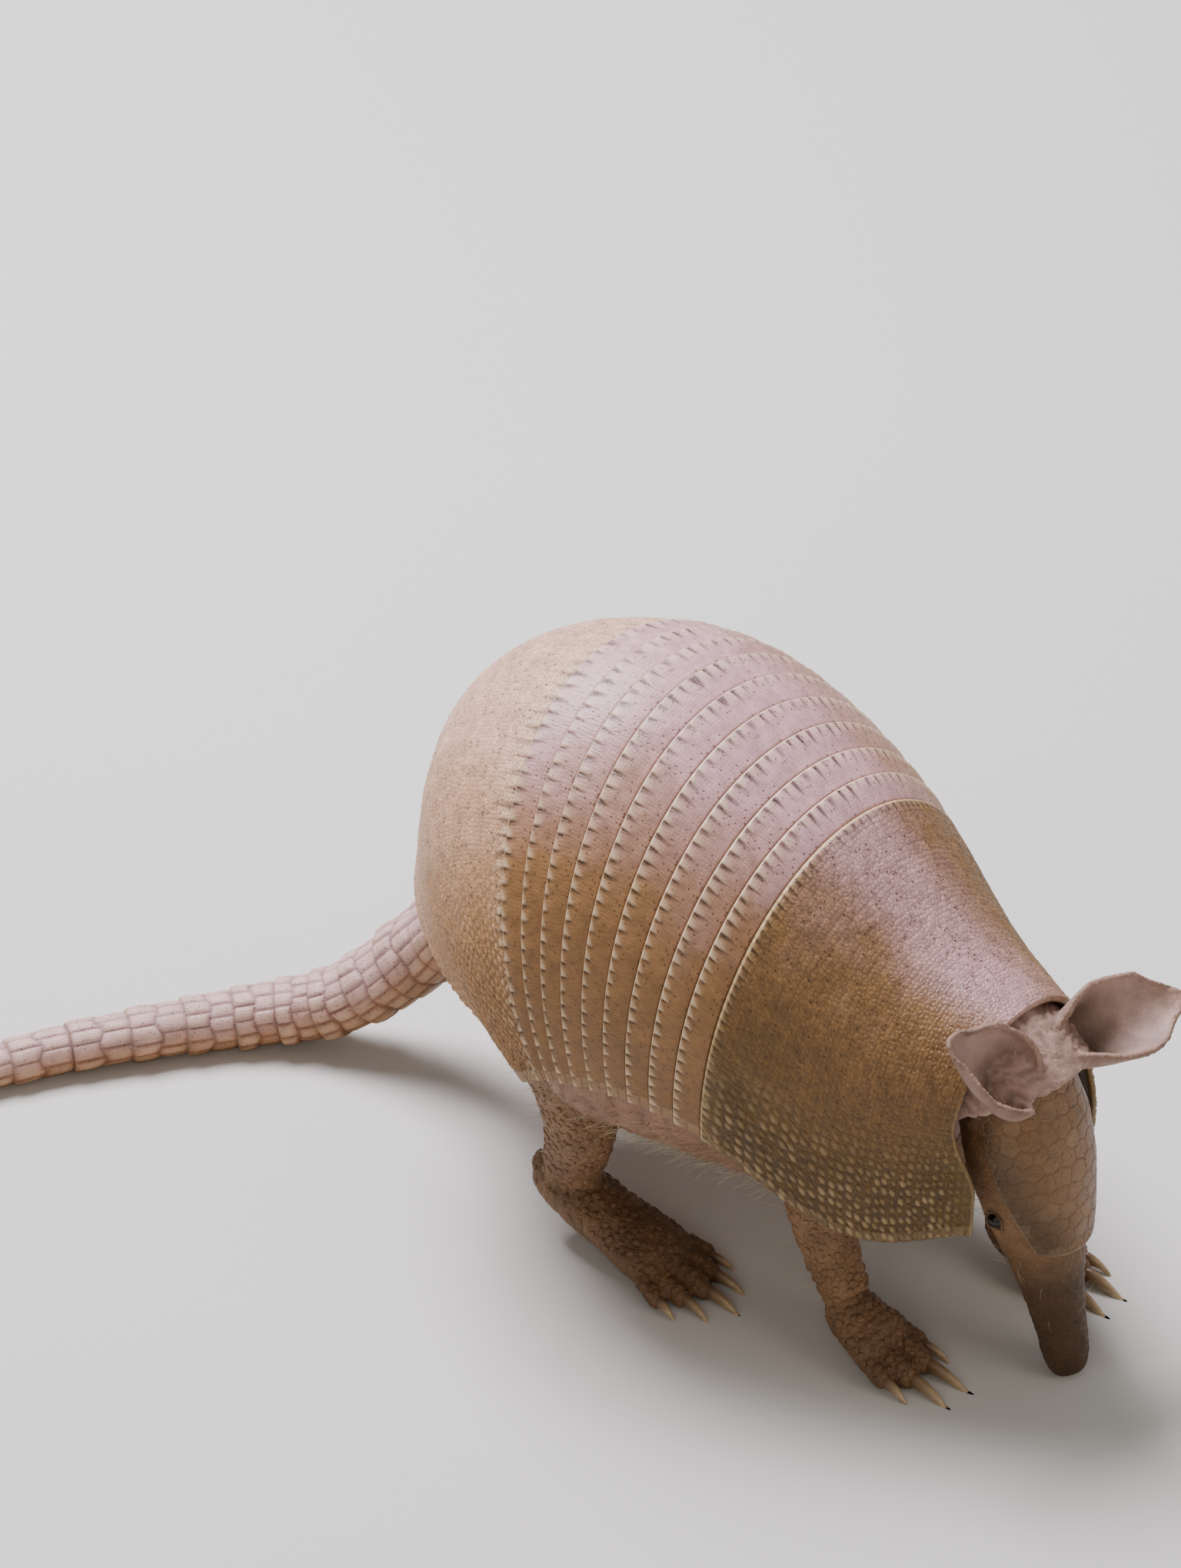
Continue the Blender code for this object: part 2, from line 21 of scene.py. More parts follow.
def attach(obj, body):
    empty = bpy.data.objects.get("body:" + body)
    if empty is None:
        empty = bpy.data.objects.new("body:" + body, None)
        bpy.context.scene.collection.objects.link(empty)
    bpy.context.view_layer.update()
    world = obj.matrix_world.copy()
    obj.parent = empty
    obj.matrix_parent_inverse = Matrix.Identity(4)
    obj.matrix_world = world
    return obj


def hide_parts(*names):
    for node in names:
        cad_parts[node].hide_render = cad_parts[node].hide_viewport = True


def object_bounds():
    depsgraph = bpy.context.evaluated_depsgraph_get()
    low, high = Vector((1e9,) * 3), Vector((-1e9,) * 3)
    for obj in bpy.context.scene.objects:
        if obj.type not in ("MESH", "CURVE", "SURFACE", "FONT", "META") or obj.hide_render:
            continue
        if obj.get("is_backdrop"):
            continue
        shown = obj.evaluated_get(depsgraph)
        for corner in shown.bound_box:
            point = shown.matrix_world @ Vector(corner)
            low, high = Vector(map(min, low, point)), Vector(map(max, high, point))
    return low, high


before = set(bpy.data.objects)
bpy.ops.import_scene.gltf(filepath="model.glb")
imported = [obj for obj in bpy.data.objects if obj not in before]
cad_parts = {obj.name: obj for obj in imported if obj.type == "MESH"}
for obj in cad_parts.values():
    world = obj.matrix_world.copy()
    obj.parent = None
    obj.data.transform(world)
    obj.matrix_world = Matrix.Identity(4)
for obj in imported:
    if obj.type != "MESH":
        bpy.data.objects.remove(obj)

LOG = logging.getLogger("armadillo")
MM = 0.001
SHELL_TO_MODEL = np.array((53.22, 79.10, 0.0)) * MM   # the shell's own frame to the model's
SEED = 9
UNDER_STRIDE = 8                # how much coarser a plate's hidden side is
SOLE = 0.004                    # creases and scales stay above this height, in metres
UP = np.array((0.0, 0, 1))


# ---- small mathematics ---------------------------------------------------

def linear(code: str) -> tuple[float, float, float, float]:
    """Turn an sRGB hex colour into a linear RGBA value.

    Args:
        code: six hex digits, such as "B28C7C".

    Returns:
        Linear red, green and blue, and an alpha of 1.
    """
    parts = [int(code[i:i + 2], 16) / 255 for i in (0, 2, 4)]
    flat = [c / 12.92 if c <= 0.04045 else ((c + 0.055) / 1.055) ** 2.4 for c in parts]
    return (*flat, 1.0)


def every(size: float) -> float:
    """How often a pattern of this size in mm comes in a metre."""
    return 1 / (size * MM)


def spaced(knots: Sequence, place: np.ndarray | float) -> np.ndarray:
    """Points on a smooth line through evenly spaced knots.

    Args:
        knots: one number or one point for each knot.
        place: where along the line, from 0 to 1.

    Returns:
        An array shaped like place with the knots' own axis added.
    """
    line = np.asarray(knots, float)
    line = line[:, None] if line.ndim == 1 else line
    last = len(line) - 1
    stretch = np.clip(np.asarray(place, float), 0, 1) * last
    index = np.minimum(stretch.astype(int), last - 1)
    f = (stretch - index)[..., None]
    one, two = line[index], line[index + 1]
    before = np.where((index > 0)[..., None], line[np.maximum(index - 1, 0)], 2 * one - two)
    after = np.where((index + 2 <= last)[..., None], line[np.minimum(index + 2, last)],
                     2 * two - one)
    return 0.5 * (2 * one + (two - before) * f
                  + (2 * before - 5 * one + 4 * two - after) * f ** 2
                  + (3 * one - before - 3 * two + after) * f ** 3)


def unit(rows: np.ndarray) -> np.ndarray:
    """Rows of vectors, each brought to length one."""
    return rows / np.maximum(np.linalg.norm(rows, axis=-1, keepdims=True), 1e-12)


def step(low: float, high: float, value: np.ndarray) -> np.ndarray:
    """A smooth step from 0 at low to 1 at high; low may be the larger."""
    share = np.clip((value - low) / (high - low), 0, 1)
    return share * share * (3 - 2 * share)


def scatter(a: np.ndarray, b: np.ndarray, salt: float) -> np.ndarray:
    """A repeatable random number from 0 to 1 for each pair of whole numbers."""
    return np.modf(np.abs(np.sin(a * 127.1 + b * 311.7 + salt * 74.7) * 43758.5453))[0]


def cells(s: np.ndarray, t: np.ndarray, wide: float, long: float, jitter: float,
          salt: float) -> tuple[np.ndarray, np.ndarray, np.ndarray]:
    """Scutes set in staggered rows.

    Args:
        s: place across the rows. t: place along them, in the same unit.
        wide: pitch in a row. long: pitch from row to row.
        jitter: how far a centre strays, as a share of the pitch. salt: seed.

    Returns:
        Distance to the nearest centre, distance to the edge between the two nearest
        cells, and a random number for the nearest cell.
    """
    base_row = np.round(t / long)
    best = np.full(s.shape, 1e9)
    second = np.full(s.shape, 1e9)
    mark = np.zeros(s.shape)
    for d_row in (-1, 0, 1):
        row = base_row + d_row
        shift = 0.5 * np.mod(row, 2)
        base_col = np.round(s / wide - shift)
        for d_col in (-1, 0, 1):
            col = base_col + d_col
            x = (col + shift + (scatter(row, col, salt) - 0.5) * jitter) * wide
            y = (row + (scatter(row, col, salt + 3) - 0.5) * jitter) * long
            away = np.hypot(s - x, (t - y) * wide / long)
            nearer = away < best
            second = np.where(nearer, best, np.minimum(second, away))
            mark = np.where(nearer, scatter(row, col, salt + 7), mark)
            best = np.minimum(best, away)
    return best, (second - best) / 2, mark


# ---- meshes --------------------------------------------------------------

@dataclass
class Form:
    """A mesh in the making: points, faces and what is known at each point."""
    points: np.ndarray
    faces: list
    notes: dict = field(default_factory=dict)
    flat: np.ndarray | None = None

    def object(self, name: str) -> bpy.types.Object:
        """Make the Blender object, with its notes as attributes and flat as a UV map.

        Args:
            name: the object's name.

        Returns:
            The new object, linked to the scene and shaded smooth.
        """
        mesh = bpy.data.meshes.new(name)
        mesh.from_pydata(self.points.tolist(), [], self.faces)
        for label, values in self.notes.items():
            layer = mesh.attributes.new(label, 'FLOAT', 'POINT')
            layer.data.foreach_set("value", np.asarray(values, np.float32).ravel())
        if self.flat is not None:
            corner = np.empty(len(mesh.loops), np.int32)
            mesh.loops.foreach_get("vertex_index", corner)
            layer = mesh.uv_layers.new(name="Plate")
            layer.data.foreach_set("uv", self.flat[corner].astype(np.float32).ravel())
        mesh.shade_smooth()
        mesh.update()
        return linked(name, mesh)


def linked(name: str, data: bpy.types.ID) -> bpy.types.Object:
    """A new object of this name with this data, in the scene."""
    piece = bpy.data.objects.new(name, data)
    bpy.context.scene.collection.objects.link(piece)
    return piece


def read(piece: bpy.types.Object, what: str = "co") -> np.ndarray:
    """The points of a piece's mesh, or with "normal" its normals, as rows of three."""
    values = np.empty(len(piece.data.vertices) * 3, np.float32)
    if what == "normal":
        piece.data.update()
    piece.data.vertices.foreach_get(what, values)
    return values.reshape(-1, 3).astype(float)


def write(piece: bpy.types.Object, points: np.ndarray) -> None:
    """Move the points of a piece's mesh."""
    piece.data.vertices.foreach_set("co", points.astype(np.float32).ravel())


def grid_faces(rows: int, cols: int, first: int = 0, turned: bool = False) -> list:
    """Quads over a grid of points numbered row by row."""
    at = first + np.arange(rows * cols).reshape(rows, cols)
    quads = np.stack((at[:-1, :-1], at[:-1, 1:], at[1:, 1:], at[1:, :-1]), -1).reshape(-1, 4)
    return (quads[:, ::-1] if turned else quads).tolist()


def rim(rows: int, cols: int, stride: int, first: int) -> list[int]:
    """Point numbers round the edge of a grid, every stride-th one."""
    at = first + np.arange(rows * cols).reshape(rows, cols)
    turn = np.concatenate((at[0, :-1:stride], at[:-1:stride, -1],
                           at[-1, :0:-stride], at[:0:-stride, 0]))
    return turn.tolist()


def plate_form(outer: np.ndarray, under: np.ndarray, stride: int,
               notes: dict, flat: np.ndarray) -> Form:
    """A closed plate: a fine upper grid over a coarse lower one.

    Args:
        outer: rows x cols x 3 points of the upper side.
        under: the like grid of the lower side, of which every stride-th is used.
        stride: how much coarser the lower side is; it divides rows - 1 and cols - 1.
        notes: values at the points of the upper side. flat: their UV places.

    Returns:
        The form, with the notes carried to the lower side.
    """
    rows, cols = outer.shape[:2]
    low = under[::stride, ::stride]
    count = rows * cols
    faces = grid_faces(rows, cols, turned=True)
    faces += grid_faces(low.shape[0], low.shape[1], count)
    fine = rim(rows, cols, 1, 0)
    coarse = rim(low.shape[0], low.shape[1], 1, count)
    for i, here in enumerate(coarse):
        after = coarse[(i + 1) % len(coarse)]
        run = [fine[(i * stride + k) % len(fine)] for k in range(stride + 1)]
        half = stride // 2
        for k in range(stride):
            foot = here if k < half else after
            faces.append((run[k], run[k + 1], foot))
        faces.append((run[half], after, here))
    points = np.concatenate((outer.reshape(-1, 3), low.reshape(-1, 3)))
    carried = {}
    for label, values in notes.items():
        grid = values.reshape(rows, cols)
        carried[label] = np.concatenate((grid.ravel(), grid[::stride, ::stride].ravel()))
    spread = flat.reshape(rows, cols, 2)
    spread = np.concatenate((spread.reshape(-1, 2), spread[::stride, ::stride].reshape(-1, 2)))
    return Form(points, outward(points, faces), carried, spread)


def tube_faces(rings: int, sides: int, first: int = 0) -> list:
    """Quads round a tube of rings, with a fan of triangles to a point at each end."""
    at = first + np.arange(rings * sides).reshape(rings, sides)
    nxt = np.roll(at, -1, axis=1)
    faces = np.stack((at[:-1], nxt[:-1], nxt[1:], at[1:]), -1).reshape(-1, 4).tolist()
    start, end = first + rings * sides, first + rings * sides + 1
    faces += [(int(nxt[0, k]), int(at[0, k]), start) for k in range(sides)]
    faces += [(int(at[-1, k]), int(nxt[-1, k]), end) for k in range(sides)]
    return faces


def outward(points: np.ndarray, faces: list) -> list:
    """The faces, all turned round if their closed form is inside out."""
    tris = np.array([(f[0], f[k], f[k + 1]) for f in faces for k in range(1, len(f) - 1)])
    a, b, c = points[tris[:, 0]], points[tris[:, 1]], points[tris[:, 2]]
    volume = np.einsum("ij,ij->i", a, np.cross(b, c)).sum()
    return faces if volume > 0 else [tuple(reversed(f)) for f in faces]


def tube_form(rings: np.ndarray, notes: dict | None = None,
              flat: np.ndarray | None = None) -> Form:
    """A closed tube: all rings, then the two end middles, with notes and UV places."""
    points = np.concatenate((rings.reshape(-1, 3), rings[0].mean(0)[None],
                             rings[-1].mean(0)[None]))
    faces = outward(points, tube_faces(*rings.shape[:2]))
    return Form(points, faces, notes or {}, flat)


# ---- finishes ------------------------------------------------------------

def add(tree: bpy.types.NodeTree, kind: str, inputs: dict | Sequence = (),
        out: str | None = None, **settings: object) -> bpy.types.NodeSocket | None:
    """Add a node with its settings, values and links.

    Args:
        tree: the node tree. kind: the node's type name, short of ShaderNode.
        inputs: a value, or an output socket to link, for each socket, by name or in order.
        out: the output that is wanted; the first in use if none is named.
        **settings: the node's own properties.

    Returns:
        That output socket, or None if the node has no outputs.
    """
    node = tree.nodes.new(kind if "Node" in kind else "ShaderNode" + kind)
    for name, value in settings.items():
        setattr(node, name, value)
    for name, value in inputs.items() if isinstance(inputs, dict) else enumerate(inputs):
        if isinstance(value, bpy.types.NodeSocket):
            tree.links.new(value, node.inputs[name])
        else:
            node.inputs[name].default_value = value
    return node.outputs[out] if out else next((s for s in node.outputs if s.enabled), None)


@dataclass(frozen=True)
class Finish:
    """What every finish has: a name, a roughness and an index of refraction."""
    name: str
    rough: float = 0.5
    ior: float = 1.45

    def material(self) -> bpy.types.Material:
        """The Blender material, made once."""
        found = bpy.data.materials.get(self.name)
        if found:
            return found
        made = bpy.data.materials.new(self.name)
        made.use_nodes = True
        tree = made.node_tree
        tree.nodes.clear()
        looks = {"Roughness": self.rough, "IOR": self.ior, **self.dress(tree)}
        add(tree, "OutputMaterial", {"Surface": add(tree, "BsdfPrincipled", looks)})
        made.diffuse_color = (0.5, 0.35, 0.28, 1)
        return made

    def dress(self, tree: bpy.types.NodeTree) -> dict:
        """What the shader takes besides, by socket name: colours and relief."""
        return {}

    def coated(self, tree: bpy.types.NodeTree, ground: str,
               *coats: tuple) -> bpy.types.NodeSocket:
        """Lay coats of colour over a ground, one after another.

        Args:
            tree: the node tree. ground: the colour below, in hex.
            *coats: each a share, and a hex colour that covers or a socket that shades.

        Returns:
            The socket with the mixed colour.
        """
        mixed = linear(ground)
        for share, over in coats:
            covers = isinstance(over, str)
            mixed = add(tree, "Mix", {0: share, 6: mixed, 7: linear(over) if covers else over},
                        data_type='RGBA', blend_type='MIX' if covers else 'MULTIPLY')
        return mixed


@dataclass(frozen=True)
class ArmourFinish(Finish):
    """Horny scutes over bone: worn, faintly waxy, lighter where edges rub.

    The eye sees a soft broad gloss on top, fine grains about 1.3 mm across with dirt
    in the seams between them, and cream horn wherever an edge is worn through.
    """
    # From spine to lower edge the horn goes from crown to flank to rim colour: the light pinkish
    # crown is partly the horn's own tone and partly painted sheen, the dark rim partly its own tone
    # and partly painted shade.
    crown: str = "B78F8C"
    flank: str = "86623A"
    rim: str = "5F4512"
    pale: str = "E2C8A6"
    seam: str = "2C190B"
    speck: str = "4A2C16"
    grain_mm: float = 1.3
    grain_show: float = 0.5

    def dress(self, tree: bpy.types.NodeTree) -> dict:
        """Colour from height on the side, with partly painted sheen on top and partly painted shade
        low down; grains, specks, worn edges, and dark seams that are partly painted shadow.
        """
        space = add(tree, "TexCoord", out="Object")
        side, worn, sunk, grainy = (add(tree, "Attribute", out="Fac", attribute_name=name)
                                    for name in ("side", "worn", "sunk", "grainy"))
        broad = add(tree, "TexNoise", {"Vector": space, "Scale": every(26.32), "Detail": 3.0,
                                       "Roughness": 0.55})
        cloud = add(tree, "TexNoise", {"Vector": space, "Scale": every(4.348), "Detail": 4.0,
                                       "Roughness": 0.6})
        drift = add(tree, "Math", (broad, 0.55), operation='SUBTRACT')
        height = add(tree, "Math", (drift, 0.5, side), operation='MULTIPLY_ADD')
        # the upper and lower shares carry the painted sheen on top and the painted shade low on the
        # side, along with the horn's own change of tone
        upper = add(tree, "MapRange", (height, 0.12, 0.5))
        lower = add(tree, "MapRange", (height, 0.5, 0.95))
        # soft blotches a few millimetres across, from wear and dried mud
        blotch = add(tree, "MapRange", (cloud, 0.3, 0.7, 0.8, 1.18))
        # the small grains of the horn, each of a tint of its own
        grains = {"Vector": add(tree, "UVMap", uv_map="Plate"),
                  "Scale": every(self.grain_mm), "Randomness": 0.75}
        grain = add(tree, "TexVoronoi", grains, feature='DISTANCE_TO_EDGE',
                    voronoi_dimensions='2D')
        tint = add(tree, "TexVoronoi", grains, voronoi_dimensions='2D').node.outputs
        lone = add(tree, "SeparateColor", {"Color": tint["Color"]}).node.outputs
        shade = add(tree, "MapRange", {0: lone[0], 3: 0.86, 4: 1.14})
        crack = add(tree, "MapRange", (grain, 0.02, 0.16, 1.0, 0.0))
        crack = add(tree, "Math", (crack, grainy), operation='MULTIPLY')
        crack = add(tree, "Math", (crack, 0.55 * self.grain_show), operation='MULTIPLY')
        # hair pits: a dark speck in about one grain in nine
        chosen = add(tree, "Math", (lone[1], 0.89), operation='GREATER_THAN')
        near = add(tree, "MapRange", (tint["Distance"], 0.16, 0.34, 0.85, 0.0))
        pit = add(tree, "Math", (chosen, near), operation='MULTIPLY')
        # the seam colour goes into real seams and also, as painted shadow, into slits, grooves and
        # overlaps
        colour = self.coated(tree, self.crown, (upper, self.flank), (lower, self.rim),
                             (1.0, blotch), (grainy, shade), (crack, self.seam),
                             (pit, self.speck), (worn, self.pale), (sunk, self.seam))
        gloss = add(tree, "MapRange", (cloud, 0.25, 0.75, self.rough - 0.07, self.rough + 0.12))
        dome = add(tree, "MapRange", (grain, 0.0, 0.3))
        dome = add(tree, "Math", (dome, grainy), operation='MULTIPLY')
        fine = add(tree, "TexNoise", {"Vector": space, "Scale": every(0.3846), "Detail": 2.0})
        relief = add(tree, "Math", (fine, 0.22, dome), operation='MULTIPLY_ADD')
        bump = add(tree, "Bump", {"Strength": 0.55, "Distance": 0.00022, "Height": relief})
        return {"Base Color": colour, "Roughness": gloss, "Normal": bump}


@dataclass(frozen=True)
class HideFinish(Finish):
    """Bare leathery skin: creased, pinkish grey, darker and hornier on legs and snout."""
    body: str = "8C6A54"
    warm: str = "7E5E3C"
    # dark: the own darker skin of snout and feet, and also painted shade on the backs and in the
    # hollows of the ears
    dark: str = "4C3620"
    ear: str = "A98B80"
    seam: str = "3C2818"

    def dress(self, tree: bpy.types.NodeTree) -> dict:
        """Mottled colour by region, with creases and pores in the relief, and painted shade in the
        ears, in skin folds, the mouth, nostrils and round the eyes.
        """
        space = add(tree, "TexCoord", out="Object")
        tan, dark_skin_and_ear_shade, leaf, fold = (add(tree, "Attribute", out="Fac", attribute_name=name)
                                 for name in ("tan", "dark_skin_and_ear_shade", "leaf", "fold"))
        mottle = add(tree, "TexNoise", {"Vector": space, "Scale": every(5.882), "Detail": 4.0,
                                        "Roughness": 0.6})
        broad = add(tree, "TexNoise", {"Vector": space, "Scale": every(16.67), "Detail": 2.0})
        tone = add(tree, "Math", (add(tree, "MapRange", (mottle, 0.3, 0.7, 0.78, 1.2)),
                                  add(tree, "MapRange", (broad, 0.3, 0.7, 0.88, 1.12))),
                   operation='MULTIPLY')
        # creases about 1.6 mm apart, closer than that they would not show
        crease = add(tree, "TexVoronoi", {"Vector": space, "Scale": every(1.613), "Randomness": 0.9},
                     feature='DISTANCE_TO_EDGE')
        line = add(tree, "MapRange", (crease, 0.0, 0.12, 0.26, 0.0))
        bare = add(tree, "Math", (leaf, -0.75, 1.0), operation='MULTIPLY_ADD')
        thin = add(tree, "Math", (line, bare), operation='MULTIPLY')
        # darker skin of snout and feet and the ears' painted shade come in first; last comes painted
        # shade in folds, creases, the mouth line, nostrils and round the eyes
        colour = self.coated(tree, self.body, (tan, self.warm), (leaf, self.ear),
                             (dark_skin_and_ear_shade, self.dark), (1.0, tone), (thin, self.seam),
                             (fold, self.seam))
        pore = add(tree, "TexNoise", {"Vector": space, "Scale": every(0.5263), "Detail": 3.0})
        ridge = add(tree, "MapRange", (crease, 0.0, 0.25))
        held = add(tree, "Math", (ridge, bare), operation='MULTIPLY')
        relief = add(tree, "Math", (pore, 0.35, held), operation='MULTIPLY_ADD')
        bump = add(tree, "Bump", {"Strength": 0.6, "Distance": 0.00022, "Height": relief})
        return {"Base Color": colour, "Normal": bump, "Subsurface Weight": 0.06,
                "Subsurface Radius": (0.0016, 0.0007, 0.0004), "Subsurface Scale": 1.0}


@dataclass(frozen=True)
class ClawFinish(Finish):
    """Keratin: a pale horn yellow, streaked along its length and darker at the root."""
    horn: str = "B79C77"
    root: str = "6E5238"

    def dress(self, tree: bpy.types.NodeTree) -> dict:
        """Streaks and a dark root, with a fine grain along the claw."""
        along = add(tree, "Attribute", out="Fac", attribute_name="along")
        stretch = add(tree, "Mapping", {"Vector": add(tree, "TexCoord", out="Object"),
                                        "Scale": (0.35, 1.0, 1.0)})
        streak = add(tree, "TexNoise", {"Vector": stretch, "Scale": every(1.111), "Detail": 3.0})
        tone = add(tree, "MapRange", (streak, 0.3, 0.7, 0.8, 1.15))
        bump = add(tree, "Bump", {"Strength": 0.3, "Distance": 0.0001, "Height": streak})
        return {"Base Color": self.coated(tree, self.root, (along, self.horn), (1.0, tone)),
                "Normal": bump}


@dataclass(frozen=True)
class EyeFinish(Finish):
    """A wet, nearly black eye: brown iris under a clear cornea."""
    iris: str = "1E120B"
    rimmed: str = "080505"

    def dress(self, tree: bpy.types.NodeTree) -> dict:
        """A dark brown iris with a black edge, and a coat for the wet cornea."""
        fleck = add(tree, "TexNoise", {"Vector": add(tree, "TexCoord", out="Object"),
                                       "Scale": every(0.6667), "Detail": 2.0})
        return {"Base Color": self.coated(tree, self.iris, (fleck, self.rimmed)),
                "Coat Weight": 0.15, "Coat Roughness": 0.05}


@dataclass(frozen=True)
class BristleFinish(Finish):
    """Stiff yellowish-white hair, as coarse as a paintbrush's."""
    hair: str = "CDBB9A"
    root: str = "8D755A"

    def dress(self, tree: bpy.types.NodeTree) -> dict:
        """Darker roots, from the height of each hair."""
        tip = add(tree, "Attribute", out="Fac", attribute_name="tip")
        return {"Base Color": self.coated(tree, self.root, (tip, self.hair))}


@dataclass(frozen=True)
class FloorFinish(Finish):
    """A plain matt studio floor."""
    tone: str = "D9D6D0"

    def dress(self, tree: bpy.types.NodeTree) -> dict:
        """One pale tone with the faintest unevenness."""
        haze = add(tree, "TexNoise", {"Vector": add(tree, "TexCoord", out="Object"),
                                      "Scale": every(333.3)})
        shade = add(tree, "MapRange", {0: haze, 3: 0.97, 4: 1.03})
        return {"Base Color": self.coated(tree, self.tone, (1.0, shade))}


class Slot(Enum):
    """Names of the material slots."""
    SHELL = "shell"
    SKIN = "skin"
    TAIL = "tail"
    CLAW = "claw"
    EYE = "eye"


# The lighter crown colours, most of all the lilac ones of bands, shoulder and tail and the cream one
# of the hip, are partly painted sheen; the dark rim colours are partly painted shade.
SHIELD_HORN = ArmourFinish("shield_horn_grainy", rough=0.46, pale="CDB082")
HIP_HORN = ArmourFinish("hip_horn_grainy", rough=0.47, crown="DCB095", flank="B98A5A",
                        rim="835D2E")
BAND_HORN = ArmourFinish("band_horn_ribbed", rough=0.39, crown="CFA2A5", flank="9A7148",
                         rim="7C582C", grain_mm=1.1, grain_show=0.25)
HEAD_HORN = ArmourFinish("head_plate_horn", rough=0.44, crown="826141", flank="755534",
                         rim="4E3616", grain_mm=1.0, grain_show=0.3)
TAIL_HORN = ArmourFinish("tail_ring_horn", rough=0.46, crown="D1A9A4", flank="A16E4C",
                         rim="77522F", seam="4A2E20", grain_mm=0.9, grain_show=0.35)
HIDE = HideFinish("bare_hide_leathery", rough=0.58, ior=1.4)
CLAW = ClawFinish("claw_keratin", rough=0.36, ior=1.54)
EYE = EyeFinish("eye_wet_dark", rough=0.24, ior=1.36)
BRISTLE = BristleFinish("bristle_hair", rough=0.5, ior=1.55)
FLOOR = FloorFinish("studio_floor_matt", rough=0.85)


def hand_over(piece: bpy.types.Object, finish: Finish, slot: Slot, *nodes: str) -> None:
    """Give a finished piece its material, hang it under the root and hide the solids it replaces.

    Args:
        piece: the object. finish: its finish. slot: not used.
        *nodes: the solids that it replaces, if any.
    """
    if not piece.data.materials:
        piece.data.materials.append(finish.material())
    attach(piece, "root")
    if nodes:
        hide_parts(*nodes)
    tris = sum(len(face.vertices) - 2 for face in piece.data.polygons)
    LOG.info("%s: %d triangles, %s", piece.name, tris, finish.name)


# ---- armour --------------------------------------------------------------

@dataclass(frozen=True)
class Shell:
    """The one curved surface that carries all body armour.

    Places run from u = 0, the front edge over the neck, to u = 1, the rear edge over
    the tail, and round each hoop from the spine by an angle or by a share of its arc.
    """
    spine: tuple = ((105, 112), (68, 126), (24, 155), (-34, 173), (-89, 150), (-107, 92))
    margin: tuple = ((102, 57), (69, 52), (21, 77), (-11, 79), (-25, 71), (-33, 66))
    half_width: tuple = (27, 50, 67, 71, 56)
    fullness: tuple = (0.18, 0.02, 0.0, 0.0, 0.0)
    wrap: float = math.radians(100)

    def raw(self, u: np.ndarray, phi: np.ndarray) -> np.ndarray:
        """Points of the surface at places u and angles phi, in the model's frame."""
        top, edge = spaced(self.spine, u), spaced(self.margin, u)
        down = ((1 - np.cos(phi)) / (1 - math.cos(self.wrap)))[..., None]
        side = top + (edge - top) * down
        swell = spaced(self.fullness, u)[..., 0] * np.sin(2 * phi)
        across = spaced(self.half_width, u)[..., 0] * np.sin(phi + swell)
        return np.stack((side[..., 0], across, side[..., 1]), -1) * MM + SHELL_TO_MODEL

    def normal(self, u: np.ndarray, phi: np.ndarray) -> np.ndarray:
        """Outward unit normals at the same places."""
        gap = 0.01
        inner = np.clip(u, gap, 1 - gap)
        along = self.raw(inner + gap, phi) - self.raw(inner - gap, phi)
        around = self.raw(inner, phi + gap) - self.raw(inner, phi - gap)
        return unit(np.cross(around, along))

    def by_arc(self, u: np.ndarray, share: np.ndarray) -> tuple[np.ndarray, np.ndarray]:
        """Angles at equal shares of each hoop's arc.

        Args:
            u: one place for each row. share: -1 to 1 across each row.

        Returns:
            The angles, rows x cols, and each row's half length in metres.
        """
        turns = np.linspace(0, self.wrap, 120)
        grid_u = np.repeat(u[:, None], len(turns), 1)
        line = self.raw(grid_u, np.repeat(turns[None], len(u), 0))
        run = np.cumsum(np.linalg.norm(np.diff(line, axis=1), axis=2), axis=1)
        run = np.concatenate((np.zeros((len(u), 1)), run), 1)
        phi = np.stack([np.interp(np.abs(share) * r[-1], r, turns) * np.sign(share) for r in run])
        return phi, run[:, -1]


SHELL = Shell()


def with_edges(count: int, length: float, edge: float = 1.0, extra: int = 4) -> np.ndarray:
    """Shares from 0 to 1, evenly spaced but closer together near both ends.

    Args:
        count: how many steps in all. length: the real length in mm.
        edge: how far the closer steps reach, in mm. extra: how many there are.

    Returns:
        count + 1 rising shares.
    """
    close = edge * (1 - np.cos(np.linspace(0, math.pi / 2, extra + 1))) / length
    inner = np.linspace(close[-1], 1 - close[-1], count - 2 * extra + 1)
    return np.concatenate((close[:-1], inner, 1 - close[-2::-1]))


def rounded(away: np.ndarray, radius: float) -> np.ndarray:
    """How far a rounded edge has dropped at a distance from it, both in mm."""
    inside = np.clip(radius - away, 0, radius)
    return radius - np.sqrt(np.maximum(radius ** 2 - inside ** 2, 0))


@dataclass(frozen=True)
class ShieldLook:
    """What differs between the shoulder shield and the hip shield."""
    finish: ArmourFinish
    rear: bool       # whether its toothed edge, beside the bands, is the rear one
    notch: float     # how far the front edge is cut back over the spine, in mm
    more: float      # scutes in the toothed row, to each one of a band
    narrow: float    # how much shorter its teeth are than a band's
    tooth: float     # how high they stand, as a share
    # the pale triangles are partly worn horn and partly painted light; the dark slits below the
    # steps are painted shadow
    pale_lit_wedge: float     # how pale they are, as a share
    painted_slit_shadow: float      # how dark the slits between them are
    lip: tuple       # where the worn lip ends and where it is whole, in mm from the edge
    bead: float      # how worn the beads are
    drop: float      # how much lower the beads begin towards the bands
    rise: float      # how much of the lift its rear edge has
    fold: float      # height in mm of the folds behind the front edge


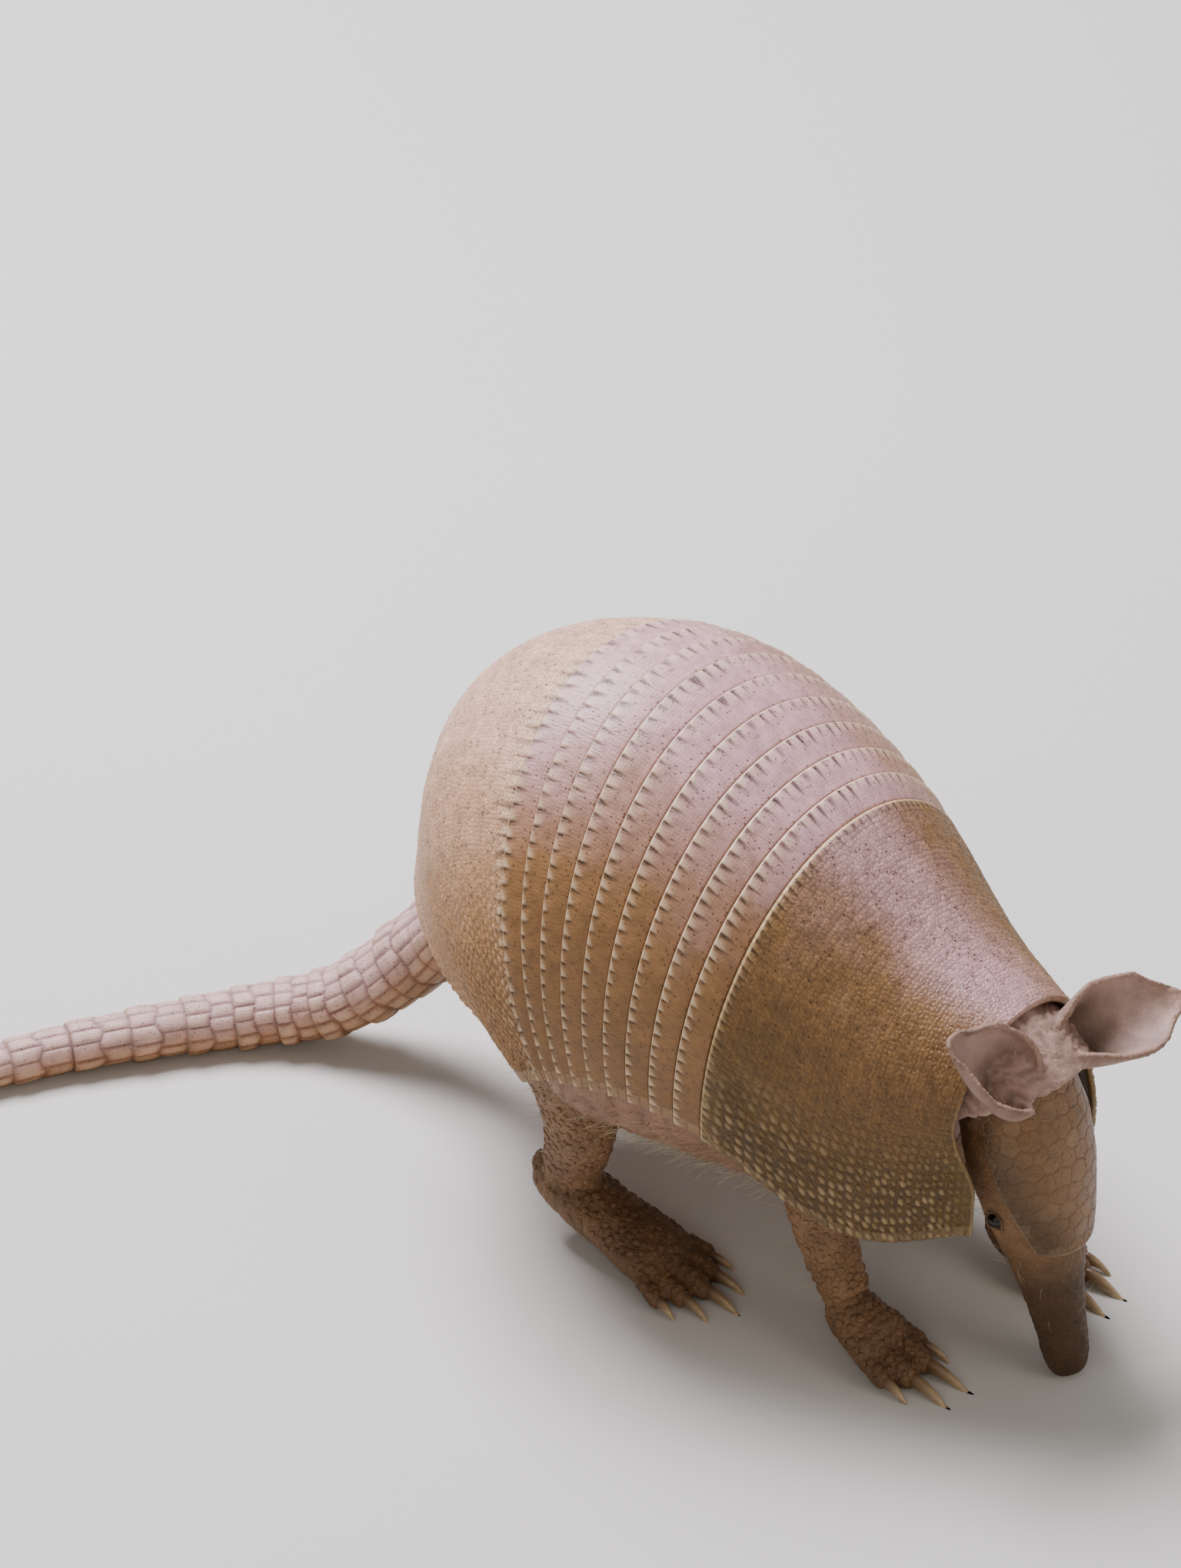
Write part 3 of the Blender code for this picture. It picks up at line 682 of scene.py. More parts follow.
SHOULDER_LOOK = ShieldLook(SHIELD_HORN, True, notch=12.5, more=1.3, narrow=1.35, tooth=0.6,
                           pale_lit_wedge=0.55, painted_slit_shadow=0.8, lip=(0.75, 0.45), bead=0.75, drop=0.15,
                           rise=1.0, fold=0.16)
HIP_LOOK = ShieldLook(HIP_HORN, False, notch=0.0, more=1.0, narrow=0.8, tooth=0.8,
                      pale_lit_wedge=0.75, painted_slit_shadow=0.6, lip=(0.5, 0.2), bead=0.42, drop=0.0,
                      rise=0.2, fold=0.0)


@dataclass
class Armour:
    """Shoulder shield, nine movable bands and hip shield.

    Sizes are in millimetres; places are shares of the shell's length.
    """
    shoulder_end: float = 0.36
    bands_end: float = 0.66
    bands: int = 9
    thick: float = 2.2
    lift: float = 0.7
    scutes_half_round: int = 31
    rosette: float = 3.15
    granule: float = 1.45
    overlap: float = 1.6
    first_overlap: float = 0.4
    shield_steps: tuple[int, int] = (560, 144)
    band_steps: tuple[int, int] = (704, 32)

    def build(self) -> None:
        """Make and hand over every plate."""
        wide = (self.bands_end - self.shoulder_end) / self.bands
        self.shield("scapular_shield", 0.0, self.shoulder_end, SHOULDER_LOOK)
        for index in range(self.bands):
            start = self.shoulder_end + wide * index
            self.band(f"band_{index + 1}", start, start + wide, index)
        self.shield("pelvic_shield", self.bands_end, 1.0, HIP_LOOK)

    def surface(self, start: float, end: float, steps: tuple[int, int],
                lead: float = 0.0, notch: float = 0.0) -> dict[str, np.ndarray]:
        """A fine grid on the shell between two places.

        Args:
            start: first place. end: last place.
            steps: how many cells round a hoop and along the shell.
            lead: how far ahead of start the grid begins, in millimetres.
            notch: how far the front edge is cut back over the spine, in millimetres.

        Returns:
            Points, normals and the pattern's coordinates in mm, by name.
        """
        middle = SHELL.raw(np.linspace(start, end, 50), np.zeros(50))
        length = np.linalg.norm(np.diff(middle, axis=0), axis=1).sum() / MM
        share = with_edges(steps[0], 280.0) * 2 - 1
        first = notch * (0.18 + 0.82 * step(0.82, 0.50, np.abs(share)))[None] - lead
        v = with_edges(steps[1], length + lead)[:, None]
        t = first + (length - 0.02 - first) * v + 0.01
        grid_u = start + (end - start) * t / length
        phi, half = SHELL.by_arc(grid_u[:, 0], share)
        s = share[None] * half[:, None] / MM
        return {"points": SHELL.raw(grid_u, phi), "normals": SHELL.normal(grid_u, phi),
                "s": s, "t": t, "share": np.repeat(share[None], len(t), 0),
                "rim": (1 - np.abs(share))[None] * half[:, None] / MM,
                "front": t - first, "length": np.full_like(s, length)}

    def finish_plate(self, name: str, grid: dict[str, np.ndarray], relief: np.ndarray,
                     under: np.ndarray, notes: dict, finish: Finish) -> None:
        """Close a plate, make its object and hand it over.

        Args:
            name: the node that it stands for. grid: from surface().
            relief: height over the shell in mm. under: depth of the lower side in mm.
            notes: values for the finish. finish: its material.
        """
        outer = grid["points"] + grid["normals"] * relief[..., None] * MM
        lower = grid["points"] - grid["normals"] * under[..., None] * MM
        flat = np.stack((grid["s"], grid["t"]), -1) * MM
        form = plate_form(outer, lower, UNDER_STRIDE, notes, flat)
        hand_over(form.object(f"armour_{name}"), finish, Slot.SHELL, name)

    def scute_place(self, grid: dict[str, np.ndarray], more: float = 1.0) -> np.ndarray:
        """How many scutes down from the spine a point lies; they get narrower lower down."""
        low = np.abs(grid["share"])
        drift = 0.12 * np.sin(grid["t"] * 0.5 + low * 40)
        return self.scutes_half_round * more * (low + 0.15 * low ** 2) / 1.15 + drift * 0.5

    def facets(self, place: np.ndarray, from_edge: np.ndarray, side: np.ndarray,
               salt: float) -> tuple[np.ndarray, np.ndarray, np.ndarray]:
        """The saw-tooth row of scutes beside a free edge.

        Each scute rises towards its lower neighbour and ends there in a small step. Below the
        step a dark line is painted shadow; above it a pale triangle is partly worn horn and
        partly painted light.

        Args:
            place: scutes down from the spine. from_edge: mm from the edge.
            side: 0 on top to 1 at the rim. salt: which row this is.

        Returns:
            Relief in mm, darkness of the painted shadow below the steps, and paleness of
            the triangles, partly painted light.
        """
        number = np.floor(place)
        share = place - number
        one, two = (scatter(number, np.full_like(number, salt + k), 5.0 + k) for k in (0, 9))
        low = step(0.38, 0.66, side)
        long = (3.4 + 2.6 * one) * (1 - 0.25 * low)
        fade = np.clip(1 - (from_edge - 0.3) / long, 0, 1)
        facet = step(-0.15, 0.5, (long * (0.25 + 0.7 * share) - from_edge) / long)
        above = step(0.86, 0.97, share)
        relief = (0.48 * share ** 1.3 * (1 - above) - 0.15) * fade ** 0.7 - 0.30 * above * fade
        # painted shadow: a thin dark line below each step
        thin = 0.44 * np.clip(1 - from_edge / (long * (0.9 + 0.8 * two)), 0, 1) ** 0.8
        painted_slit_shadow = step(0.0, 0.26, thin - share) * (0.35 + 0.55 * one) * (1 - 0.35 * low)
        painted_slit_shadow = np.maximum(painted_slit_shadow, above * fade ** 0.5) * step(0.2, 0.6, from_edge)
        # the pale triangle, partly worn horn and partly painted light, palest towards the step
        pale = facet * (0.3 + 0.7 * share) * (1 - above) * (1 - step(0.1, 0.26, thin - share))
        pale = pale * (0.42 + 0.26 * two + 0.24 * low)
        return relief, painted_slit_shadow, pale

    def side_note(self, grid: dict[str, np.ndarray]) -> np.ndarray:
        """How low on the animal's side a point lies, 0 on top to 1 at the rim."""
        return np.clip(np.abs(grid["share"]), 0, 1)

    def marginal(self, grid: dict[str, np.ndarray]) -> tuple[np.ndarray, np.ndarray]:
        """Relief and paleness of the larger scutes along the lower rim."""
        away = grid["rim"]
        zone = step(4.6, 3.6, away)
        place = np.abs(np.mod(grid["t"] / 4.4, 1) - 0.5) * 2
        gap = step(0.78, 1.0, place) * zone
        row = step(0.55, 0.0, np.abs(away - 4.4)) * 0.8
        return -0.45 * np.maximum(gap, row), zone * (1 - gap) * (1 - row)

    def shield(self, name: str, start: float, end: float, look: ShieldLook) -> None:
        """One of the two large shields: rosettes low down, fine granules on top.

        Args:
            name: its node. start: first place. end: last place. look: which of the two.
        """
        rear = look.rear
        grid = self.surface(start, end, self.shield_steps, notch=look.notch)
        s, t, length, front = (grid[key] for key in ("s", "t", "length", "front"))
        side = self.side_note(grid)
        from_edge, far_edge = (length - t, front) if rear else (t, length - t)
        drop = look.drop * t / length
        low = step(0.48, 0.76, side - drop) * (step(0.0, 0.2, t / length) if rear else 1.0)
        calm = 1 - step(3.0, 6.0, from_edge)
        boss_away, _, mark = cells(s, t, self.rosette, self.rosette * 0.84, 0.34, 1.0)
        girth = 0.62 + 0.42 * mark
        boss = step(girth + 0.5, girth - 0.3, boss_away)
        ring = np.exp(-((boss_away - girth - 0.55) / 0.35) ** 2)
        _, seam, tint = cells(s, t, self.granule, self.granule, 0.5, 2.0)
        grain = step(0.0, 0.42, seam)
        presence = (0.25 + 0.75 * low) * (1 - calm) if rear else 0.2 + 0.6 * low
        relief = 0.30 * boss * presence - 0.20 * ring * presence
        relief = relief + (grain - 1) * 0.17 * (1 - boss * presence) + (tint - 0.5) * 0.07
        place = self.scute_place(grid, look.more)
        tooth, painted_slit_shadow, pale_lit_wedge = self.facets(place, from_edge * look.narrow, side, 40 + rear)
        relief = relief * (1 - step(2.5, 1.0, from_edge)) + tooth * look.tooth
        chance = scatter(np.floor(place * 1.5), np.full_like(place, 3.0), 4.0)
        lip = step(*look.lip, from_edge)
        dent, margin_pale = self.marginal(grid)
        relief = relief * (1 - step(4.6, 4.0, grid["rim"])) + dent
        # low waves, so that the large plates are not quite even
        wave = np.sin(s * 0.21 + 2.1 * np.sin(t * 0.13)) * np.sin(t * 0.17 + 1.3 * np.sin(s * 0.11))
        fold = np.sin(front * 2 * math.pi / 2.5 + np.sin(s * 0.3)) * step(15.0, 5.0, front)
        relief = relief + look.fold * fold * low
        height = relief + self.lift * (t / length) ** 3 * look.rise - 0.34 + 0.16 * wave
        height = height - rounded(np.minimum(np.minimum(front, length - t), grid["rim"]), 1.1)
        under = np.where(from_edge < 3.0, 1.2, self.thick) if rear else self.thick + 0 * t
        patch = 0.5 + 0.5 * np.sin(s * 0.33 + 1.7 * np.sin(t * 0.29)) * np.sin(t * 0.41 + s * 0.1)
        bead = boss * low * (0.16 + 0.46 * mark) * (0.3 + 0.7 * patch)
        # pale marks: real wear at the lip, beads and front edge, plus the pale triangles of the
        # toothed row, partly painted light
        worn = np.clip(lip * (0.4 + 0.5 * chance) + pale_lit_wedge * look.pale_lit_wedge + margin_pale * 0.12
                       + bead * look.bead + step(1.0, 0.3, far_edge) * 0.22
                       + (0.30 * boss * step(12.0, 4.0, from_edge) if not rear else 0), 0, 0.95)
        # dark marks: painted shadow below the toothed row's steps, darker grooves round the
        # rosettes, and dark seams between the granules
        sunk = np.clip(painted_slit_shadow * look.painted_slit_shadow + ring * presence * low * 0.42
                       + step(0.12, 0.0, seam) * 0.22 * (1 - low * 0.3), 0, 0.9)
        # moves where the crown colour, partly painted sheen, gives way to the darker flank and rim
        # colours, partly painted shade: higher up on the shoulder shield, lower down on the hip
        # shield
        shift = 0.23 * step(0.0, 0.20, side) - drop * step(0.3, 0.5, side) if rear else -0.12
        notes = {"side": np.clip(side + shift, 0, 1),
                 "worn": worn, "sunk": sunk * (1 - lip),
                 "grainy": np.clip((1 - boss * presence) * (1 - lip), 0, 1)}
        self.finish_plate(name, grid, height, under, notes, look.finish)

    def band(self, name: str, start: float, end: float, index: int) -> None:
        """One movable band: ribbed, with pale wedges, partly painted light, based on its free rear
        edge.

        Args:
            name: its node. start: first place. end: last place. index: from the front.
        """
        lead = self.overlap if index else self.first_overlap
        grid = self.surface(start, end, self.band_steps, lead=lead)
        t, length = grid["t"], grid["length"]
        side = self.side_note(grid)
        v = t / length
        place = self.scute_place(grid)
        cell = np.floor(place)
        chance = scatter(cell, np.full_like(cell, index), 5.0)
        from_rear = length - t
        tooth, painted_slit_shadow, pale_lit_wedge = self.facets(place, from_rear, side, 11.0 * index)
        # each scute is a long tile; its outline runs forward as a faint zigzag
        off = np.abs(place - np.round(place)) * 2
        zig = np.abs(off - np.clip((from_rear - 1.0) / (length - 2.4), 0, 1))
        line = step(0.14, 0.0, zig) * step(0.8, 1.6, from_rear)
        ribs = np.cos(place * 2 * math.pi * 4 + chance * 6) * step(1.0, 3.0, from_rear)
        relief = tooth - 0.06 * line + 0.045 * ribs
        swell = 0.18 * np.sin(math.pi * np.clip(v, 0, 1))
        lip = step(0.62, 0.36, from_rear)
        relief = relief * (1 - lip)
        dent, margin_pale = self.marginal(grid)
        relief = relief + 0.6 * dent * (v > 0.1)
        climb = self.lift * (1.5 * np.clip(v, 0, 1) - 0.5)
        tucked = -1.0 * step(0.06, -0.06, v)
        height = relief + swell + climb + tucked - 0.28
        height = height - rounded(np.minimum(from_rear, grid["rim"]), 0.8)
        under = np.where(from_rear < 2.2, 0.35, self.thick)
        rough_edge = 0.3 + 0.65 * scatter(np.floor(place * 1.5), cell, 3.0)
        # pale marks: real wear at the lip, the pale triangles, partly painted light, and a painted
        # highlight along the rib crests near the rear edge
        worn = np.clip(lip * rough_edge + pale_lit_wedge + margin_pale * 0.12
                       + 0.10 * np.clip(ribs, 0, 1) * step(5.0, 2.0, from_rear), 0, 0.95)
        # dark marks: painted shadow below the steps, in the rib valleys and at the front where the
        # band lies tucked under the one ahead, and the scutes' dark outlines
        sunk = np.clip(painted_slit_shadow * (0.88 - 0.2 * side) + line * 0.14 + 0.10 * np.clip(-ribs, 0, 1)
                       + step(0.5, -0.05, t) * 0.75, 0, 0.9) * (1 - lip)
        notes = {"side": side, "worn": worn, "sunk": sunk,
                 "grainy": np.clip(0.35 * (1 - pale_lit_wedge) * (1 - lip), 0, 1)}
        self.finish_plate(name, grid, height, under, notes, BAND_HORN)


# ---- head ----------------------------------------------------------------

NAPE = np.array((91.0, 0, 96)) * MM + SHELL_TO_MODEL
HEAD_AXIS = unit(np.array((115.0 - 91, 0, 0 - 96)))
BROW = -np.cross((0.0, 1, 0), HEAD_AXIS)
SIDE = np.array((0.0, 1, 0))
HEAD_FORM = np.array([
    (0, 12.5, 10, 10), (7, 16.5, 13.5, 14), (18, 18.6, 16, 16.5), (32, 18, 16, 16),
    (46, 15.4, 13.8, 13.8), (60, 11.8, 10.8, 10.6), (73, 9, 8.4, 8.2),
    (85, 7.6, 7.2, 6.8), (93, 7.3, 6.8, 6.3), (98.3, 5.6, 5.2, 4.8)])
EYE_RADIUS = 2.9
EYE_PLACE = 42                  # from the nape, in mm


def head_size(place: np.ndarray) -> np.ndarray:
    """Half width and the depths to brow and throat along the head, in metres.

    Args:
        place: millimetres from the nape.

    Returns:
        An array with three values for each place, eased where the form's rows meet.
    """
    spread = np.array((-3.0, -1.5, 0.0, 1.5, 3.0))
    weight = np.array((1, 2, 3, 2, 1)) / 9
    around = np.asarray(place, float)[..., None] + spread
    return np.stack([(np.interp(around, HEAD_FORM[:, 0], HEAD_FORM[:, i]) * weight).sum(-1)
                     for i in (1, 2, 3)], -1) * MM


def eye_middle(side: int) -> np.ndarray:
    """The middle of an eye, low on the side of the head."""
    wide, above = (float(np.interp(EYE_PLACE, HEAD_FORM[:, 0], HEAD_FORM[:, i])) for i in (1, 2))
    turn = math.radians(98)
    return (NAPE + HEAD_AXIS * EYE_PLACE * MM + SIDE * side * (wide - 1.5) * math.sin(turn) * MM
            + BROW * above * math.cos(turn) * MM)


@dataclass
class HeadPlate:
    """The shield of scutes over crown and forehead; sizes in millimetres."""
    first: float = 2.0
    last: float = 56.0
    gap: float = 0.8
    thick: float = 1.1
    scute: float = 5.2
    steps: tuple[int, int] = (176, 176)

    def build(self) -> None:
        """Make the plate: flat many-sided scutes with narrow seams."""
        rows = with_edges(self.steps[1], self.last - self.first, edge=0.8)[:, None]
        cols = (with_edges(self.steps[0], 46.0, edge=0.8) * 2 - 1)[None]
        half = np.radians(82 - 26 * rows ** 2.2)
        turn = half * cols
        place = self.first + (self.last - self.first) * rows - 3.5 * cols ** 2 * rows
        size = head_size(place)
        centre = NAPE + HEAD_AXIS * place[..., None] * MM
        across = SIDE * (size[..., 0] * np.sin(turn))[..., None]
        rise = BROW * (size[..., 1] * np.cos(turn))[..., None]
        out = unit(across / size[..., :1] ** 2 * 1e-3 + rise / size[..., 1:2] ** 2 * 1e-3)
        spread = 1.0 + self.gap * MM / size[..., :1]
        base = centre + (across + rise) * spread
        s = turn * size[..., 0] / MM
        t = place + 0 * s
        _, seam, tint = cells(s, t, self.scute, self.scute * 0.95, 0.42, 4.0)
        _, fine, fine_tint = cells(s, t, 1.9, 1.9, 0.5, 6.0)
        edge = np.minimum(np.minimum(rows, 1 - rows) * (self.last - self.first),
                          (1 - np.abs(cols)) * half * size[..., 0] / MM)
        border = step(3.4, 2.4, edge)
        tile = np.minimum(step(0.0, 0.5, seam), 1)
        tile = tile * (1 - border) + np.minimum(step(0.0, 0.3, fine), 1) * border
        relief = (tile - 1) * 0.20 + (tint - 0.5) * 0.08
        height = self.thick - 0.10 + relief - rounded(edge, 0.8) * 0.9
        outer = base + out * height[..., None] * MM
        lower = base - out * 0.5 * MM
        side = np.clip(np.abs(cols) * 0.7 + 0.1 + 0.45 * rows ** 1.5 + 0 * s, 0, 1)
        pale = step(1.0, 0.4, edge) * 0.16 + border * fine_tint * 0.04
        notes = {"side": side, "worn": np.clip(pale + step(0.75, 1.0, tint) * 0.04, 0, 1),
                 "sunk": step(0.24, 0.04, seam) * 0.26 * (1 - border)
                 + step(0.2, 0.02, fine) * 0.18 * border, "grainy": 0.5 + 0 * s}
        form = plate_form(outer, lower, UNDER_STRIDE, notes, np.stack((s, t), -1) * MM)
        hand_over(form.object("armour_head_shield"), HEAD_HORN, Slot.SHELL, "head_shield")


@dataclass
class Eye:
    """One eyeball: a sphere with the cornea standing slightly proud."""
    side: int
    radius: float = EYE_RADIUS

    def build(self) -> None:
        """Make the eyeball and hand it over."""
        label = "right" if self.side < 0 else "left"
        ring = np.linspace(0, math.pi, 26)[1:-1]
        turn = np.linspace(0, 2 * math.pi, 40, endpoint=False)
        out = unit(SIDE * self.side + BROW * -0.1)
        one = unit(np.cross(out, HEAD_AXIS))
        two = np.cross(out, one)
        bulge = 1 - 0.06 + 0.08 * np.exp(-(ring / 0.6) ** 2)
        rings = (out * np.cos(ring)[:, None, None] + (one * np.cos(turn)[:, None]
                 + two * np.sin(turn)[:, None]) * np.sin(ring)[:, None, None])
        rings = eye_middle(self.side) + rings * bulge[:, None, None] * self.radius * MM
        hand_over(tube_form(rings).object(f"eyeball_{label}"), EYE, Slot.EYE, f"eye_{label}")


# ---- tail ----------------------------------------------------------------

@dataclass
class Tail:
    """A bony tail: ring over ring of paired scute rows, then a scaly tip.

    The path is in the shell's own frame and sizes are in millimetres.
    """
    path: tuple = ((-86, 0, 70), (-113, -4, 40.2), (-136, -17, 16.3), (-157, -33, 8.9),
                   (-177, -59, 7.7), (-198, -92, 6.5), (-214, -129, 5.3), (-221.7, -166, 4.3),
                   (-220, -201, 3.4), (-210, -230, 2.35))
    radii: tuple = (14.2, 12.2, 10.5, 9.3, 8.0, 6.8, 5.6, 4.5, 3.6, 2.35)
    rings: int = 13
    ring_span: float = 0.66
    lengths: tuple = (("tail_base", 3), ("tail_fore", 3), ("tail_mid", 4), ("tail_aft", 3))
    scute: float = 4.7
    sides: int = 176
    tucked: float = 0.006      # how far a length reaches in under the one ahead, as a share

    def frames(self, share: np.ndarray) -> tuple[np.ndarray, np.ndarray, np.ndarray]:
        """Middles, sideways and upward unit vectors of rings along the path."""
        here = spaced(self.path, share) * MM + SHELL_TO_MODEL
        ahead = unit(spaced(self.path, np.minimum(share + 0.01, 1))
                     - spaced(self.path, np.maximum(share - 0.01, 0)))
        sideways = unit(np.cross(ahead, (0.0, 0, 1)))
        return here, sideways, np.cross(sideways, ahead)

    def evened(self, low: float, high: float, count: int, apart: float) -> tuple:
        """Even steps along a part of the path.

        Args:
            low: first place. high: last place.
            count: how many places the path is measured at. apart: the step in mm.

        Returns:
            The steps' millimetres and places, then the measured ones.
        """
        dense = np.linspace(low, high, count)
        line = self.frames(dense)[0]
        run = np.concatenate(([0], np.cumsum(np.linalg.norm(np.diff(line, axis=0), axis=1)))) / MM
        along = np.linspace(0, run[-1], int(run[-1] / apart) + 1)
        return along, np.interp(along, run, dense), run, dense

    def length_of(self, name: str, low: float, high: float, first: int, count: int) -> None:
        """One length of the ringed part.

        Args:
            name: its node. low: first place. high: last place.
            first: number of its first ring. count: how many rings it has.
        """
        pitch = self.ring_span / self.rings
        along, share = self.evened(low, high, 200, 0.42)[:2]
        ring = share / pitch
        number = np.clip(np.floor(ring), first, first + count - 1)
        v = np.clip(ring - number, 0, 1)[:, None]
        radius = spaced(self.radii, share)[:, 0][:, None]
        turn = np.linspace(0, 2 * math.pi, self.sides, endpoint=False)[None]
        middle_radius = spaced(self.radii, (number + 0.5) * pitch)[:, 0][:, None]
        around = np.maximum(8, np.round(2 * math.pi * middle_radius / self.scute))
        long = along[-1] / count
        # two rows of knobby scutes in a ring, the rear row offset by half a scute
        shift = scatter(number, number * 0, 7.0)[:, None]
        middle = 0.5 + 0.05 * np.sin(turn * 5 + shift * 9)
        rear = (v > middle).astype(float)
        place = turn / (2 * math.pi) * around + 0.5 * rear + 0.1 * np.sin(turn * 3 + shift * 6)
        cell = np.round(place)
        x = (place - cell) * 2
        y = np.where(rear > 0, (v - middle) / (1 - middle), v / middle) * 2 - 1
        chance = scatter(cell, np.repeat(number[:, None], cell.shape[1], 1) * 2 + rear, 2.0)
        dome = np.clip((1 - np.abs(x) ** 3.2) * (1 - np.abs(y) ** 3.6), 0, 1)
        edge = (1 - v) * long
        knob = 0.35 + 0.65 * np.clip(radius / 14.0, 0, 1)
        relief = (0.95 * dome ** 0.7 * (0.6 + 0.75 * chance) - 0.78) * knob
        flare = -0.05 + 0.10 * np.clip(v, 0, 1) ** 1.5
        drop = rounded(edge, 1.0) * (edge < 1.0)
        height = radius * flare + relief - drop
        full = np.maximum(radius + height, 0.6) * MM
        notes = {"worn": np.clip((0.10 + 0.22 * chance) * dome ** 2
                                 + 0.22 * step(1.0, 0.4, edge), 0, 0.9),
                 "sunk": np.clip(0.62 * (1 - dome) ** 2.5, 0, 0.9), "grainy": 0.5 + 0 * full}
        self.finish_length(name, along, share, turn, full, notes, 60)

    def finish_length(self, name: str, along: np.ndarray, share: np.ndarray, turn: np.ndarray,
                      full: np.ndarray, notes: dict, span: float) -> None:
        """Make a length's closed object and hand it over.

        Args:
            name: its node. along: each ring's millimetres from the length's start.
            share: each ring's place on the path. turn: angles round a ring.
            full: radii in metres. notes: values for the finish.
            span: how wide a whole turn is to the finish, in millimetres.
        """
        here, sideways, upward = self.frames(share)
        points = (here[:, None] + (sideways[:, None] * np.cos(turn)[..., None]
                                   + upward[:, None] * np.sin(turn)[..., None]) * full[..., None])
        points[..., 2] = np.maximum(points[..., 2], 0.0)
        arc = turn / (2 * math.pi) * span + 0 * full
        flat = np.stack((arc, along[:, None] + 0 * arc), -1).reshape(-1, 2) * MM
        flat = np.concatenate((flat, flat[:1], flat[-1:]))
        # lighter crown colour on top of the tail and darker rim colour underneath, partly the horn's
        # own tones and partly painted sheen and shade
        notes = {"side": np.clip(0.5 - 0.5 * np.sin(turn) + 0 * full, 0, 1), **notes}
        carried = {label: np.concatenate((values.ravel(), values.ravel()[:1],
                                          values.ravel()[-1:])) for label, values in notes.items()}
        form = tube_form(points, carried, flat)
        hand_over(form.object(f"rings_{name}"), TAIL_HORN, Slot.TAIL, name)

    def tip(self) -> None:
        """The thin end, with small scutes in staggered rows."""
        low = self.ring_span + 0.0012
        along, share, run, dense = self.evened(low, 1, 300, 0.45)
        radius = spaced(self.radii, share)[:, 0][:, None]
        end = (run[-1] - along)[:, None]
        radius = radius * np.sqrt(np.clip(1 - (1 - np.minimum(end / 4.0, 1)) ** 2, 0.02, 1))
        turn = np.linspace(0, 2 * math.pi, 112, endpoint=False)[None]
        row = np.floor(along / 3.1)[:, None]
        fraction = along[:, None] / 3.1 - row
        around = np.maximum(6, np.round(2 * math.pi * spaced(self.radii, np.interp(
            row * 3.1, run, dense))[..., 0] / 3.3))
        place = turn / (2 * math.pi) * around + 0.5 * np.mod(row, 2)
        off = np.abs(place - np.round(place)) * 2
        gap = (1 - off) * math.pi * radius / around
        groove = np.maximum(step(0.4, 0.05, gap), step(0.13, 0.02, np.minimum(fraction,
                                                                             1 - fraction)))
        height = -0.22 * groove + 0.14 * fraction - 0.12
        full = np.maximum(radius * 0.97 + height * np.minimum(radius / 3, 1), 0.25) * MM
        notes = {"worn": 0.22 * fraction + 0 * full, "sunk": 0.5 * groove + 0 * full,
                 "grainy": 0.3 + 0 * full}
        self.finish_length("tail_tip", along, share, turn, full, notes, 30)

    def build(self) -> None:
        """Make all five lengths."""
        pitch = self.ring_span / self.rings
        start = 0
        for name, count in self.lengths:
            tuck = -self.tucked if start else 0.0008
            self.length_of(name, pitch * start + tuck, pitch * (start + count) - 0.0006,
                           start, count)
            start += count
        self.tip()


# ---- hide ----------------------------------------------------------------

class Region(IntEnum):
    """The parts of the body that the one skin covers."""
    TRUNK = 0
    NECK = 1
    HEAD = 2
    EAR_RIGHT = 3
    EAR_LEFT = 4
    HIND_RIGHT = 5
    HIND_LEFT = 6
    FORE_RIGHT = 7
    FORE_LEFT = 8
    FOOT = 9


@dataclass(frozen=True)
class LegPlan:
    """A leg of the right side: joints with radii, and its foot; millimetres."""
    name: str
    joints: tuple
    heel: tuple
    ball: tuple
    width: float
    height: float
    left_step: float
    toes: tuple            # sideways place, reach, radius and claw length of each


HIND = LegPlan(
    "hind",
    (((-58, -26, 92), 19, 26), ((-44, -33, 74), 14, 22), ((-31, -39, 56), 11.5, 16),
     ((-27, -41, 40), 9, 11.5), ((-29, -41, 27), 7.5, 9.5), ((-31, -41, 17), 7.5, 8.5)),
    (-33, -41, 17), (6, -40, 5.2), 12.5, 7.0, -9.0,
    ((-11.4, 6, 2.7, 6), (-5.9, 11, 3.1, 9), (0, 14, 3.4, 11), (5.9, 11, 3.1, 9),
     (11.6, 5, 2.7, 6)))
FORE = LegPlan(
    "fore",
    (((56, -22, 76), 13, 17), ((52, -26, 60), 11.5, 15), ((50, -29, 44), 9, 11.5),
     ((54, -30, 30), 7.5, 8.5), ((60, -30, 18), 6.8, 7.2)),
    (59, -30, 13), (75, -30, 5.4), 11.5, 6.5, 9.0,
    ((-8.2, 7, 3.1, 8), (-2.9, 12, 3.7, 14), (3.4, 12, 3.7, 15), (9.2, 5, 3.0, 8)))


@dataclass(frozen=True)
class EarPlan:
    """A leaf-shaped, cupped ear on a rolled stalk; the shell's own frame, millimetres."""
    name: str
    root: tuple
    tip: tuple
    facing: tuple
    length: float
    width: float
    curl: float


EARS = (EarPlan("ear_right", (97.5, -12, 92), (92.5, -32, 124), (0.9, 0.35, 0.25), 36, 23, 80),
        EarPlan("ear_left", (97, 9.5, 95), (110, 42, 100), (0.55, -0.2, 0.85), 43, 24, 55))


def oval_ring(centre: np.ndarray, side: np.ndarray, up: np.ndarray, wide: float,
              above: float, below: float, count: int) -> np.ndarray:
    """Points of an egg-shaped ring, in the units of its middle and radii."""
    turn = np.linspace(0, 2 * math.pi, count, endpoint=False)[:, None]
    rise = np.where(np.cos(turn) > 0, above, below)
    return centre + side * wide * np.sin(turn) + up * rise * np.cos(turn)


